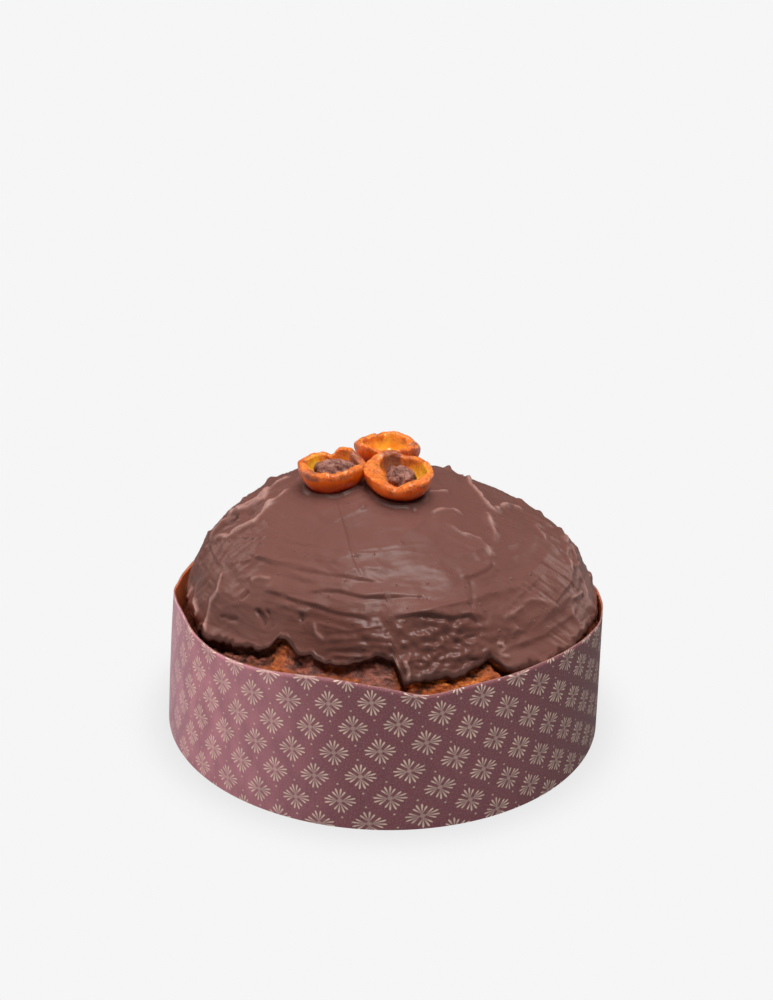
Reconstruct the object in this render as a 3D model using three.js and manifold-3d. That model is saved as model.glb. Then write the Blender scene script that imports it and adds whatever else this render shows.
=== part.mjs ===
// A low, dome-topped panettone in its printed paper baking case. Chocolate coats
// the dome, and candied apricot halves, each with a dab of chocolate in its stone
// hollow, sit on the top. Millimetres, +Z up. The origin is the centre of the
// case's underside. The front is -Y, and azimuths run from there to the right, +X.
import * as THREE from "three";
import { mergeVertices } from "three/addons/utils/BufferGeometryUtils.js";
import Module from "manifold-3d";

const wasm = await Module();
wasm.setup();

// Driving dimensions, the paper case
const CASE_BASE_RADIUS = 108;
const CASE_RIM_RADIUS = 105.8;
const CASE_HEIGHT = 70;
const CASE_CORNER = 0.9; // rounding where the wall meets the underside
const CASE_LEAN = 1.1; // the rim's centre stands this far to the right of the base's
const PAPER = 1;
const RIM_FEATURES = [
  { at: -112, rise: -4, width: 22 },
  { at: -52, rise: -1, width: 14 },
  { at: -14, rise: 3.7, width: 14 },
  { at: 10, rise: -2.8, width: 7 },
  { at: 48, rise: 1.4, width: 18 },
  { at: 96, rise: -3.5, width: 20 },
  { at: 190, rise: -1.8, width: 12 },
];
const RIM_FLARES = [
  { at: -107, rise: -4.2, width: 25 },
  { at: -62, rise: 0.8, width: 16 },
  { at: 64, rise: 1.6, width: 16 },
  { at: 108, rise: -4.6, width: 24 },
  { at: 178, rise: 0.7, width: 18 },
];

// Driving dimensions, the cake
const FIT = 0.3; // clearance between pieces that touch
const DOME_RADIUS = 97.2;
const DOME_FOOT = 62; // height where the dome is widest
const CAKE_HEIGHT = 123.8;
const DOME_ROUND = 1.12; // powers of the dome's outline: 1 is an ellipse, more is leaner
const DOME_PEAK = 1.16;
const DOME_SHIFT = { x: 3.6, y: -0.7 }; // the dome rose a little off the case's centre
const APEX_LEAN = -12.9; // and its top leans to the left
const DOME_BULGES = [
  // level and reach are shares of the dome's height
  { at: 95, rise: 4.2, width: 32, level: 0.47, reach: 0.16 },
  { at: 118, rise: -2.8, width: 30, level: 0.69, reach: 0.11 },
  { at: -62, rise: 0.9, width: 20, level: 0.5, reach: 0.2 },
  { at: 190, rise: 1.2, width: 26, level: 0.5, reach: 0.2 },
];
const SHOULDER = 13; // height over which the crust leaves the case's wall
const SHOULDER_TOP = 75;
const SHOULDER_FEATURES = [
  { at: -78, rise: -9, width: 24 },
  { at: 80, rise: -5, width: 22 },
  { at: 200, rise: -4, width: 30 },
];
const CRAG = 1.1; // depth of the crust's crags where the coat leaves it bare

// Driving dimensions, the chocolate coat
const COAT = 2.7;
const COAT_EDGE = 68; // mean height of its lower edge
const COAT_LIP = 1.9; // thickness at that edge
const COAT_SWELL = 0.75; // depth of the spatula's broad waves
const EDGE_FEATURES = [
  { at: -21, rise: 11.5, width: 11 },
  { at: -5, rise: 10, width: 5 },
  { at: -44, rise: 4.5, width: 9 },
  { at: 26.5, rise: 6, width: 3.5 },
  { at: 76, rise: -2.5, width: 14 },
  { at: 128, rise: 5, width: 8 },
  { at: 171, rise: 7, width: 12 },
  { at: 224, rise: 4, width: 7 },
];
const EDGE_RAGGED = 0.9;

// Driving dimensions, the apricot halves: where the middle of each cut face is,
// how the half is tilted, and how large and deep it is
const APRICOTS = [
  { name: "left", x: -27.1, y: -8.2, tilt: 8, roll: -4, turn: 182, radius: 15.3, depth: 12 },
  { name: "right", x: 5.6, y: -14.3, tilt: 11, roll: 4, turn: 35, radius: 16.2, depth: 11.6 },
  { name: "back", x: -0.4, y: 22.5, tilt: -4, roll: 3, turn: 300, radius: 16, depth: 12.6 },
];
const APRICOT_SINK = 1.2; // how far a half is pressed into the coat
const HOLLOW_SHARE = 0.66; // the stone's hollow, as a share of the radius
const HOLLOW_DEPTH_SHARE = 0.74;
const FLESH_LIP = 1.1; // how far the cut flesh stands up round the hollow
const CLEFT = 1.5; // depth of the seam groove down one side
const CLEFT_WIDTH = 17; // degrees
const RIM_WAVE = 1.0;
const DAB_LEVEL_SHARE = 0.5; // height of the chocolate dab's edge in the hollow
const DAB_CROWN = 3.6;

// Facet counts
const SPOKES = 100;
const COAT_OUTER_RINGS = 19;
const COAT_INNER_RINGS = 7;
const CAKE_DOME_RINGS = 6;
const CAKE_SHOULDER_RINGS = 5;
const APRICOT_SPOKES = 28;
const SKIN_RINGS = 7;
const HOLLOW_RINGS = 5;
const DAB_RINGS = 3;

const FULL_TURN = 2 * Math.PI;
const { degToRad, lerp, smoothstep } = THREE.MathUtils;

// Smooth bumps round the cake: each is `rise` at azimuth `at`, fading over `width` degrees.
function features(list, azimuth) {
  return list.reduce((sum, bump) => {
    const apart = Math.atan2(
      Math.sin(azimuth - degToRad(bump.at)),
      Math.cos(azimuth - degToRad(bump.at)),
    );
    return sum + bump.rise * Math.exp(-((apart / degToRad(bump.width)) ** 2));
  }, 0);
}

// The point at a radius and height, round a centre.
function around(azimuth, radius, height, centre = { x: 0, y: 0 }) {
  return new THREE.Vector3(
    centre.x + radius * Math.sin(azimuth),
    centre.y - radius * Math.cos(azimuth),
    height,
  );
}

// A closed solid of rings: place(ring, azimuth) is a point of that ring. The first
// and last rings are single points, and faces point out where the rings go up.
function turned(rings, spokes, place) {
  const profile = Array.from({ length: rings }, (_, ring) => new THREE.Vector2(ring, ring));
  const geometry = new THREE.LatheGeometry(profile, spokes);
  const position = geometry.getAttribute("position");
  for (let spoke = 0; spoke <= spokes; spoke += 1) {
    const azimuth = ((spoke % spokes) * FULL_TURN) / spokes;
    for (let ring = 0; ring < rings; ring += 1) {
      const point = place(ring, azimuth);
      position.setXYZ(spoke * rings + ring, point.x, point.y, point.z);
    }
  }
  return closed(geometry);
}

// The same geometry with shared corners merged and empty triangles dropped.
function closed(geometry) {
  geometry.deleteAttribute("normal");
  geometry.deleteAttribute("uv");
  const merged = mergeVertices(geometry, 1e-4);
  const corners = merged.index.array;
  const kept = [];
  for (let i = 0; i < corners.length; i += 3) {
    const [a, b, c] = corners.subarray(i, i + 3);
    if (a !== b && b !== c && c !== a) kept.push(a, b, c);
  }
  merged.setIndex(kept);
  merged.computeVertexNormals();
  return merged;
}

function toSolid(geometry) {
  const mesh = new wasm.Mesh({
    numProp: 3,
    vertProperties: geometry.getAttribute("position").array,
    triVerts: Uint32Array.from(geometry.index.array),
  });
  return new wasm.Manifold(mesh);
}

function toGeometry(solid) {
  const mesh = solid.getMesh();
  const geometry = new THREE.BufferGeometry();
  geometry.setAttribute("position", new THREE.BufferAttribute(mesh.vertProperties, mesh.numProp));
  geometry.setIndex(new THREE.BufferAttribute(mesh.triVerts, 1));
  geometry.computeVertexNormals();
  return geometry;
}

// Paper case

function rimHeight(azimuth) {
  return CASE_HEIGHT + features(RIM_FEATURES, azimuth);
}

// A point on the case's wall, some way in from its outside.
function wallPoint(azimuth, height, inset) {
  const share = height / CASE_HEIGHT;
  const flare = features(RIM_FLARES, azimuth) * share * share;
  const radius = lerp(CASE_BASE_RADIUS, CASE_RIM_RADIUS, share) + flare;
  return around(azimuth, radius - inset, height, { x: CASE_LEAN * share, y: 0 });
}

// Rings from the middle of the underside, up the outside of the wall, over the
// rim and down the inside to the middle of the floor.
function makeCase() {
  const wallShares = [0.3, 0.6, 0.85, 1];
  const wall = (share, inset) => (azimuth) => wallPoint(azimuth, rimHeight(azimuth) * share, inset);
  const corner = (inset, height) => (azimuth) => wallPoint(azimuth, height, inset);
  const rings = [
    () => new THREE.Vector3(0, 0, 0),
    corner(CASE_CORNER, 0),
    corner(CASE_CORNER * 0.3, CASE_CORNER * 0.3),
    corner(0, CASE_CORNER),
    ...wallShares.map((share) => wall(share, 0)),
    ...wallShares.toReversed().map((share) => wall(share, PAPER)),
    corner(PAPER, CASE_CORNER + PAPER),
    corner(CASE_CORNER + PAPER, PAPER),
    () => new THREE.Vector3(0, 0, PAPER),
  ];
  return turned(rings.length, SPOKES, (ring, azimuth) => rings[ring](azimuth));
}

// Cake

// The crust's surface. drop is 0 at the top, 1 at the dome's foot and 2 at the case's floor.
function crustPoint(azimuth, drop) {
  const turn = (Math.min(drop, 1) * Math.PI) / 2;
  const climb = Math.max(Math.cos(turn), 0) ** DOME_PEAK;
  const out = Math.sin(turn) ** DOME_ROUND;
  const floor = PAPER + FIT;
  const height =
    drop <= 1 ? lerp(DOME_FOOT, CAKE_HEIGHT, climb) : lerp(DOME_FOOT, floor, drop - 1);
  const bulge = DOME_BULGES.reduce((sum, one) => {
    return sum + features([one], azimuth) * Math.exp(-(((climb - one.level) / one.reach) ** 2));
  }, 0);
  const centre = { x: DOME_SHIFT.x + APEX_LEAN * climb ** 1.5, y: DOME_SHIFT.y };
  const dome = around(azimuth, (DOME_RADIUS + bulge) * out, height, centre);
  const top = SHOULDER_TOP + features(SHOULDER_FEATURES, azimuth);
  const flare = smoothstep(top - height, 0, SHOULDER);
  return dome.lerp(wallPoint(azimuth, height, PAPER + FIT), flare);
}

// The drop at which the dome reaches a height above its foot.
function dropAt(height) {
  const climb = (height - DOME_FOOT) / (CAKE_HEIGHT - DOME_FOOT);
  return Math.acos(climb ** (1 / DOME_PEAK)) / (Math.PI / 2);
}

// The outward direction of the crust's surface.
function crustNormal(azimuth, drop) {
  const step = 1e-3;
  const steady = Math.max(drop, step);
  const across = crustPoint(azimuth + step, steady).sub(crustPoint(azimuth - step, steady));
  const down = crustPoint(azimuth, steady + step).sub(crustPoint(azimuth, steady - step));
  return drop < step ? new THREE.Vector3(0, 0, 1) : down.cross(across).normalize();
}

// Uneven crags of the bare crust, from 0 to 1.
function crags(azimuth, drop) {
  const wave = Math.sin(23 * azimuth + 9 * drop) * Math.sin(41 * azimuth - 31 * drop + 1);
  return 0.5 + 0.5 * wave;
}

// Rings from the middle of the base, up the side and the bare shoulder, and over the dome.
function makeCake() {
  const floorHeight = PAPER + FIT;
  const floorCorner = 4;
  const ring = (drop, crag) => (azimuth) => {
    const share = typeof drop === "function" ? drop(azimuth) : drop;
    const inward = crustNormal(azimuth, share).multiplyScalar(-crag * CRAG * crags(azimuth, share));
    return crustPoint(azimuth, share).add(inward);
  };
  const coatFoot = (azimuth) => dropAt(edgeHeight(azimuth));
  const shoulder = Array.from({ length: CAKE_SHOULDER_RINGS }, (_, i) => {
    const share = i / CAKE_SHOULDER_RINGS;
    return ring((azimuth) => lerp(1.12, coatFoot(azimuth), share), Math.sin(Math.PI * share));
  });
  const dome = Array.from({ length: CAKE_DOME_RINGS }, (_, i) => {
    const share = i / CAKE_DOME_RINGS;
    return ring((azimuth) => lerp(coatFoot(azimuth), 0, share), 0);
  });
  const rings = [
    () => new THREE.Vector3(0, 0, floorHeight),
    (azimuth) => wallPoint(azimuth, floorHeight, PAPER + FIT + floorCorner),
    ring(1.9, 0),
    ring(1.5, 0),
    ...shoulder,
    ...dome,
    () => crustPoint(0, 0),
  ];
  return turned(rings.length, SPOKES, (index, azimuth) => rings[index](azimuth));
}

// Chocolate coat

// Height of the coat's ragged lower edge.
function edgeHeight(azimuth) {
  const ragged =
    Math.sin(13 * azimuth + 1) + Math.sin(29 * azimuth) + 0.7 * Math.sin(47 * azimuth + 2);
  return COAT_EDGE + features(EDGE_FEATURES, azimuth) + EDGE_RAGGED * ragged * 0.6;
}

// Broad waves that the spatula left, from about -1 to 1: level ones low on the
// front, and slanting ones round the sides.
function spatulaWaves(azimuth, drop) {
  const level = Math.sin(26 * drop + 1.5 * Math.sin(2 * azimuth)) * (0.5 + 0.5 * Math.cos(azimuth));
  const slanting = Math.sin(7 * azimuth + 9 * drop) * (0.5 - 0.5 * Math.cos(azimuth));
  return (level + slanting + 0.6 * Math.sin(5 * azimuth - 4 * drop)) / 2;
}

// Rings down the inside, round the lip and up the outside. The outside is the
// crust's surface moved out by the coat's thickness.
function makeCoat() {
  const lift = (azimuth, drop, distance) =>
    crustPoint(azimuth, drop).addScaledVector(crustNormal(azimuth, drop), distance);
  const inside = Array.from({ length: COAT_INNER_RINGS }, (_, i) => (azimuth) => {
    const share = i / (COAT_INNER_RINGS - 1);
    return lift(azimuth, dropAt(edgeHeight(azimuth)) * share, FIT * (1 + 2 * share));
  });
  const outside = Array.from({ length: COAT_OUTER_RINGS }, (_, i) => (azimuth) => {
    const share = 1 - i / (COAT_OUTER_RINGS - 1);
    const drop = dropAt(edgeHeight(azimuth)) * share;
    const swell = COAT_SWELL * spatulaWaves(azimuth, drop) * smoothstep(share, 0.05, 0.4);
    const lip = smoothstep(share, 0.88, 1);
    return lift(azimuth, drop, FIT + lerp(COAT + swell, COAT_LIP, lip));
  });
  const rings = [...inside, ...outside];
  return turned(rings.length, SPOKES, (ring, azimuth) => rings[ring](azimuth));
}

// Apricot halves

// The radius of an apricot's outline: a cleft on one side and a blunt tip opposite.
function outline(fruit, azimuth) {
  const cleft = features([{ at: 0, rise: CLEFT, width: CLEFT_WIDTH }], azimuth);
  const tip = features([{ at: 180, rise: 1, width: 26 }], azimuth);
  return fruit.radius * (1 + 0.035 * Math.sin(2 * azimuth + fruit.turn)) - cleft + tip;
}

// How far the cut rim rises and falls round the half.
function rimWave(fruit, azimuth) {
  return RIM_WAVE * (Math.sin(3 * azimuth + fruit.turn) + 0.6 * Math.sin(5 * azimuth));
}

// The hollow that the stone left. share is 0 at its bottom and 1 at its edge.
function hollowPoint(fruit, azimuth, share) {
  const turn = (share * Math.PI) / 2;
  const depth = fruit.depth * HOLLOW_DEPTH_SHARE;
  const radius = outline(fruit, azimuth) * HOLLOW_SHARE * Math.sin(turn);
  const height = -depth * Math.cos(turn) + rimWave(fruit, azimuth) * share ** 4;
  return around(azimuth, radius, height);
}

// Rings up the skin from the bottom, over the cut flesh and down into the hollow.
function makeApricot(fruit) {
  const skin = Array.from({ length: SKIN_RINGS }, (_, i) => (azimuth) => {
    const share = i / (SKIN_RINGS - 1);
    const turn = (share * Math.PI) / 2;
    const radius = outline(fruit, azimuth) * Math.sin(turn) ** 0.85;
    return around(azimuth, radius, -fruit.depth * Math.cos(turn) + rimWave(fruit, azimuth) * share ** 4);
  });
  const flesh = (azimuth) => {
    const radius = outline(fruit, azimuth) * lerp(HOLLOW_SHARE, 1, 0.45);
    return around(azimuth, radius, FLESH_LIP + rimWave(fruit, azimuth));
  };
  const hollow = Array.from({ length: HOLLOW_RINGS }, (_, i) => (azimuth) => {
    return hollowPoint(fruit, azimuth, 1 - i / (HOLLOW_RINGS - 1));
  });
  const rings = [...skin, flesh, ...hollow];
  return turned(rings.length, APRICOT_SPOKES, (ring, azimuth) => rings[ring](azimuth));
}

// A dab of chocolate that follows the hollow's floor and is crowned on top.
function makeDab(fruit) {
  const edge = (azimuth) => hollowPoint(fruit, azimuth, 1 - DAB_LEVEL_SHARE / 2);
  const clear = (point) => point.multiply(new THREE.Vector3(0.94, 0.94, 1)).setZ(point.z + FIT * 1.6);
  const floor = Array.from({ length: DAB_RINGS + 1 }, (_, i) => (azimuth) => {
    return clear(hollowPoint(fruit, azimuth, (1 - DAB_LEVEL_SHARE / 2) * (i / DAB_RINGS)));
  });
  const crown = [0.72, 0.4, 0].map((share) => (azimuth) => {
    const point = clear(edge(azimuth));
    const level = edge(0).z + FIT + DAB_CROWN * Math.sqrt(1 - share * share);
    return new THREE.Vector3(point.x * share, point.y * share, lerp(level, point.z, share ** 4));
  });
  const rings = [...floor, ...crown];
  return turned(rings.length, APRICOT_SPOKES, (ring, azimuth) => rings[ring](azimuth));
}

// Height of the coat's plain outside under a place on the top of the dome.
function coatTop(x, y) {
  const centre = { x: DOME_SHIFT.x + APEX_LEAN, y: DOME_SHIFT.y };
  const reach = Math.hypot(x - centre.x, y - centre.y) / (DOME_RADIUS + COAT + FIT);
  const climb = (1 - reach ** (2 / DOME_ROUND)) ** (DOME_PEAK / 2);
  return lerp(DOME_FOOT, CAKE_HEIGHT + FIT + COAT, climb);
}

// Each half and its dab share one group, turned as the half lies.
function placeApricot(fruit) {
  const group = new THREE.Group();
  group.position.set(fruit.x, fruit.y, coatTop(fruit.x, fruit.y) - APRICOT_SINK + fruit.depth);
  group.rotation.set(degToRad(fruit.tilt), degToRad(fruit.roll), degToRad(fruit.turn));
  const half = new THREE.Mesh(makeApricot(fruit), apricotFlesh);
  half.name = `apricot_${fruit.name}`;
  const dab = new THREE.Mesh(makeDab(fruit), chocolate);
  dab.name = `dab_${fruit.name}`;
  group.add(half, dab);
  group.updateMatrixWorld(true);
  return group;
}

// The room that a half takes in the coat, a little larger than the half all round.
function seatOf(group, fruit) {
  const half = group.children[0];
  const grown = half.geometry.clone();
  const share = 1 + (1.5 * FIT) / fruit.depth;
  grown.scale(share, share, share).applyMatrix4(half.matrixWorld);
  return toSolid(grown);
}

// Materials

const printedPaper = new THREE.MeshStandardMaterial({ color: 0x7a4d55, roughness: 0.7, metalness: 0 });
const crust = new THREE.MeshStandardMaterial({ color: 0x8a4a1e, roughness: 0.85, metalness: 0 });
const chocolate = new THREE.MeshStandardMaterial({ color: 0x6b4036, roughness: 0.4, metalness: 0 });
const apricotFlesh = new THREE.MeshStandardMaterial({ color: 0xe0761c, roughness: 0.3, metalness: 0 });

// The whole panettone

const apricots = APRICOTS.map(placeApricot);
const seats = apricots.map((group, i) => seatOf(group, APRICOTS[i]));
const seatedCoat = seats.reduce((coat, seat) => coat.subtract(seat), toSolid(makeCoat()));

const paperCase = new THREE.Mesh(makeCase(), printedPaper);
paperCase.name = "paper_case";
const cake = new THREE.Mesh(makeCake(), crust);
cake.name = "cake";
const coat = new THREE.Mesh(toGeometry(seatedCoat), chocolate);
coat.name = "chocolate_coat";

const panettone = new THREE.Group();
panettone.add(paperCase, cake, coat, ...apricots);

export default panettone;
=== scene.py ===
import math
import random

import bmesh
import bpy
import numpy as np
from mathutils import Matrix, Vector, noise


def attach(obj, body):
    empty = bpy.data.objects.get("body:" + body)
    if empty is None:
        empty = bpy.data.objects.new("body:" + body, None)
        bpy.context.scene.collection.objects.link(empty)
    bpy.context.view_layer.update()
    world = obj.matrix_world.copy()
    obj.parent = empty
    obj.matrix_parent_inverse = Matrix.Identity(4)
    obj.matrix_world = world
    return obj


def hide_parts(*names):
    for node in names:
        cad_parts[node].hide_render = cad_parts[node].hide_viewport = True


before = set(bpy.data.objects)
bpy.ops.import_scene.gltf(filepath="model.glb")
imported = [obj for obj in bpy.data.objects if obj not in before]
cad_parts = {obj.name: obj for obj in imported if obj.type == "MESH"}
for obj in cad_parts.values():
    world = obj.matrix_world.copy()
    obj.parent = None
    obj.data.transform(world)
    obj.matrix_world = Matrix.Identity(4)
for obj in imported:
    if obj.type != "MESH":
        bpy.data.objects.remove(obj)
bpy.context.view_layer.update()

# Paper case
# A round baking mould of stiff ribbed paper: one printed strip, rolled up with its ends
# lapped and glued at the back, and folded under round a base disc. Its rim is soft and
# uneven, and the inside has toasted to a red brown.

MM = 0.001
TOUCHING = 1e-6
CASE_BASE_RADIUS = 108
CASE_RIM_RADIUS = 105.8
CASE_HEIGHT = 70
CASE_LEAN = 1.1
PAPER = 0.9
PAPER_EDGE = 0.6
# Round the rim, as azimuth in degrees, change and width: its height, and how far it stands out.
RIM_FEATURES = [
    (-112, -4, 22), (-68, 2.2, 12), (-50, -1, 14), (-14, 3.7, 14),
    (10, -2.8, 7), (48, 1.4, 18), (96, -3.5, 20), (190, -1.8, 12),
]
RIM_FLARES = [
    (-107, -4.2, 25), (-68, -1.0, 14), (-52, 0.6, 12),
    (64, 1.6, 16), (108, -4.6, 24), (178, 0.7, 18),
]
# Soft waves of the rim: depth, count round the case, and start.
RIM_WAVES = [(0.3, 9, 1), (0.2, 17, 0), (0.12, 31, 2)]
WAVES_UP = 0.6
CASE_COLUMNS = 480
WALL_CUTS = [5, 5]
LAP_START = 168
LAP_END = 177
LAP_STEP = 0.7
SEAM_COLUMNS = 0.95
HEM_SHARES = [0.992, 0.9, 0.99]
BASE_LIFT = 0.7
HEM_TOP = 1
SMOOTH_BELOW = math.radians(40)


def rows_of(cuts):
    """How many rows a tube has after these cuts, one after the other."""
    return math.prod(count + 1 for count in cuts)


def open_tube(name, columns, cuts):
    """A tube of quads. Returns it with each vertex's azimuth (0 is the front) and share of the way up."""
    bpy.ops.object.select_all(action="DESELECT")
    bpy.ops.mesh.primitive_cylinder_add(vertices=columns, radius=1, depth=1, end_fill_type="NOTHING")
    piece = bpy.context.object
    piece.name = name
    piece.data.name = name
    bpy.ops.object.mode_set(mode="EDIT")
    bpy.ops.mesh.select_mode(type="EDGE")
    for count in cuts:
        bpy.ops.mesh.select_all(action="DESELECT")
        bpy.ops.object.mode_set(mode="OBJECT")
        for edge in piece.data.edges:
            low, high = (piece.data.vertices[i].co for i in edge.vertices)
            edge.select = abs(low.z - high.z) > TOUCHING
        bpy.ops.object.mode_set(mode="EDIT")
        bpy.ops.mesh.subdivide(number_cuts=count)
    bpy.ops.object.mode_set(mode="OBJECT")
    x, y, z = places(piece).T
    return piece, np.arctan2(x, -y), np.round((z + 0.5) * rows_of(cuts)) / rows_of(cuts)


def places(piece):
    """A piece's vertices as an array."""
    flat = np.empty(len(piece.data.vertices) * 3)
    piece.data.vertices.foreach_get("co", flat)
    return flat.reshape(-1, 3)


def move_to(piece, points_mm):
    """Moves a piece's vertices to places given in millimetres."""
    piece.data.vertices.foreach_set("co", (points_mm * MM).ravel())
    piece.data.update()


def close_up(piece):
    """Merges what touches, such as poles, points the faces out and shades them smooth."""
    bpy.ops.object.select_all(action="DESELECT")
    piece.select_set(True)
    bpy.context.view_layer.objects.active = piece
    bpy.ops.object.mode_set(mode="EDIT")
    bpy.ops.mesh.select_all(action="SELECT")
    bpy.ops.mesh.remove_doubles(threshold=TOUCHING)
    bpy.ops.mesh.normals_make_consistent(inside=False)
    bpy.ops.object.mode_set(mode="OBJECT")
    bpy.ops.object.shade_smooth()


def bell(away, width):
    """A smooth bell: 1 where it is, and about a third at its width away."""
    return np.exp(-((away / width) ** 2))


def bumps(features, azimuth):
    """Smooth bumps round the cake. Each is (azimuth in degrees, rise, width in degrees)."""
    total = np.zeros_like(azimuth)
    for at, rise, width in features:
        apart = azimuth - math.radians(at)
        apart = np.arctan2(np.sin(apart), np.cos(apart))
        total += rise * bell(apart, math.radians(width))
    return total


def blend(low, high, value):
    """A smooth step from 0 at low to 1 at high."""
    share = np.clip((value - low) / (high - low), 0, 1)
    return share * share * (3 - 2 * share)


def around(azimuth, radius, height, x=0.0, y=0.0):
    """Points at a radius and height round a centre."""
    return np.stack([x + radius * np.sin(azimuth), y - radius * np.cos(azimuth), height + 0 * azimuth], -1)


def store(piece, name, shares):
    """Keeps a share for each vertex as an attribute that the material reads."""
    piece.data.attributes.new(name, "FLOAT", "POINT").data.foreach_set("value", shares)


def rim_height(azimuth):
    return CASE_HEIGHT + bumps(RIM_FEATURES, azimuth)


def wall_point(azimuth, height, inset=0.0):
    """A point of the wall, or inside it by an inset."""
    share = height / CASE_HEIGHT
    flare = bumps(RIM_FLARES, azimuth) * share * share
    radius = CASE_BASE_RADIUS + (CASE_RIM_RADIUS - CASE_BASE_RADIUS) * share + flare - inset
    return around(azimuth, radius, height, x=CASE_LEAN * share)


case, azimuth, rise = open_tube("paper_case_rolled", CASE_COLUMNS, WALL_CUTS)
column = 2 * math.pi / CASE_COLUMNS
seam = math.pi - SEAM_COLUMNS * column
azimuth = np.where(np.abs(azimuth) > math.pi - column / 2, seam, azimuth)
buckle = sum(depth * np.sin(count * azimuth + start) for depth, count, start in RIM_WAVES)
lap = LAP_STEP * blend(LAP_START, LAP_END, np.degrees(azimuth)) * (azimuth < seam)
height = rise * (rim_height(azimuth) + WAVES_UP * buckle)
move_to(case, wall_point(azimuth, height, inset=-lap - buckle * rise * rise))

# The hem runs inwards in rings, each a share of the one before, and the last is lifted and closed.
paper = bmesh.new()
paper.from_mesh(case.data)
foot = [corner for corner in paper.verts if corner.co.z < TOUCHING]
ring = sorted(foot, key=lambda corner: math.atan2(corner.co.x, -corner.co.y))
for share in HEM_SHARES:
    spread = np.array([corner.co for corner in ring])
    middle = Vector((spread.min(axis=0) + spread.max(axis=0)) / 2)
    inner = [paper.verts.new(middle + (corner.co - middle) * share) for corner in ring]
    for i in range(len(ring)):
        paper.faces.new((ring[i - 1], ring[i], inner[i], inner[i - 1]))
    ring = inner
for corner in ring:
    corner.co.z += BASE_LIFT * MM
paper.faces.new(ring)
bmesh.ops.recalc_face_normals(paper, faces=paper.faces)
paper.to_mesh(case.data)
paper.free()
bpy.ops.object.shade_smooth_by_angle(angle=SMOOTH_BELOW)


def add_node(tree, kind, *inputs, **settings):
    """Adds a node with these settings. Each input is a value, a socket to link, or None."""
    made = tree.nodes.new(kind)
    for key, value in settings.items():
        setattr(made, key, value)
    for socket, value in zip(made.inputs, inputs):
        if isinstance(value, bpy.types.NodeSocket):
            tree.links.new(value, socket)
        elif value is not None:
            socket.default_value = value
    return made


def calc(operation, *values):
    """A sum of values, at least one of them a socket, in that socket's tree."""
    tree = next(value.id_data for value in values if isinstance(value, bpy.types.NodeSocket))
    return add_node(tree, "ShaderNodeMath", *values, operation=operation).outputs[0]


def ramp(value, low, high, start=0.0, end=1.0):
    """A smooth step from start to end, as a value goes from low to high."""
    sizes = (value, low, high, start, end)
    return add_node(value.id_data, "ShaderNodeMapRange", *sizes, interpolation_type="SMOOTHSTEP").outputs[0]


def share_of(tree, name):
    """A share that the piece's vertices hold."""
    return add_node(tree, "ShaderNodeAttribute", attribute_name=name).outputs["Fac"]


def object_place(tree):
    return add_node(tree, "ShaderNodeTexCoord").outputs["Object"]


def mix(share, low, high):
    """A mix of two colours, which come after the node's five inputs for other kinds of value."""
    unused = [None] * 5
    return add_node(share.id_data, "ShaderNodeMix", share, *unused, low, high, data_type="RGBA").outputs[2]


def tinted(colour, *layers):
    """A colour under layers, each a pattern, where it begins and is full, its most, and its tint."""
    for pattern, low, high, most, tint in layers:
        colour = mix(ramp(pattern, low, high, 0, most), colour, tint)
    return colour


def grain(vector, scale, detail=2.0, rough=0.5):
    """Soft noise from 0 to 1."""
    return add_node(vector.id_data, "ShaderNodeTexNoise", vector, None, scale, detail, rough).outputs["Fac"]


def stretched(vector, x, y, z):
    """Coordinates scaled differently along each axis."""
    return add_node(vector.id_data, "ShaderNodeMapping", vector, None, None, (x, y, z)).outputs[0]


def new_material(name, **sockets):
    """A Principled material with these plain sockets set."""
    material = bpy.data.materials.new(name)
    material.use_nodes = True
    shader = material.node_tree.nodes["Principled BSDF"]
    for key, value in sockets.items():
        shader.inputs[key.replace("_", " ")].default_value = value
    return material, material.node_tree, shader


def feed(node, **sockets):
    for key, value in sockets.items():
        node.id_data.links.new(value, node.inputs[key.replace("_", " ")])


def relief(shader, height, depth_mm):
    """Feeds a bump of this depth to the shader."""
    bump = add_node(shader.id_data, "ShaderNodeBump", 1.0, depth_mm * MM)
    feed(bump, Height=height)
    feed(shader, Normal=bump.outputs[0])


def rgb(red, green, blue):
    """A colour given in screen steps of 255, made linear."""
    return (*(((c / 255 + 0.055) / 1.055) ** 2.4 for c in (red, green, blue)), 1.0)


# The florets stand on a centred lattice. Each has four fans of four petals, and a dot above and
# below it. Inks are shares of the full ink, and petals fade towards their roots.
FLORET_ACROSS = 18.97
FLORET_UP = 24.03
FAN_ROOT = 1.0
FLORET_HEART = 1.4
PETAL_LENGTH = 5.5
PETAL_SHORTER = 2.5
PETAL_ROOT = 0.2
PETAL_SPREAD = 0.4
PETAL_STEP = math.radians(24.5)
PETAL_BLUNT = 8.0
PETAL_FADE = (0.2, 0.85)
ROOT_INK = 0.45
HEART_INK = 0.42
DOT_OFFSET = 8.5
DOT_RADIUS = 0.45
DOT_INK = 0.7
INK_SOFT = 0.1

floret_print = bpy.data.node_groups.new("floret_print", "ShaderNodeTree")
floret_print.interface.new_socket("Place", in_out="INPUT", socket_type="NodeSocketVector")
floret_print.interface.new_socket("Ink", in_out="OUTPUT", socket_type="NodeSocketFloat")
tree = floret_print
inlet = tree.nodes.new("NodeGroupInput")
outlet = tree.nodes.new("NodeGroupOutput")
along, up, _ = add_node(tree, "ShaderNodeSeparateXYZ", inlet.outputs[0]).outputs


def length_of(x, y):
    squares = calc("ADD", calc("MULTIPLY", x, x), calc("MULTIPLY", y, y))
    return calc("SQRT", squares)


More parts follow.
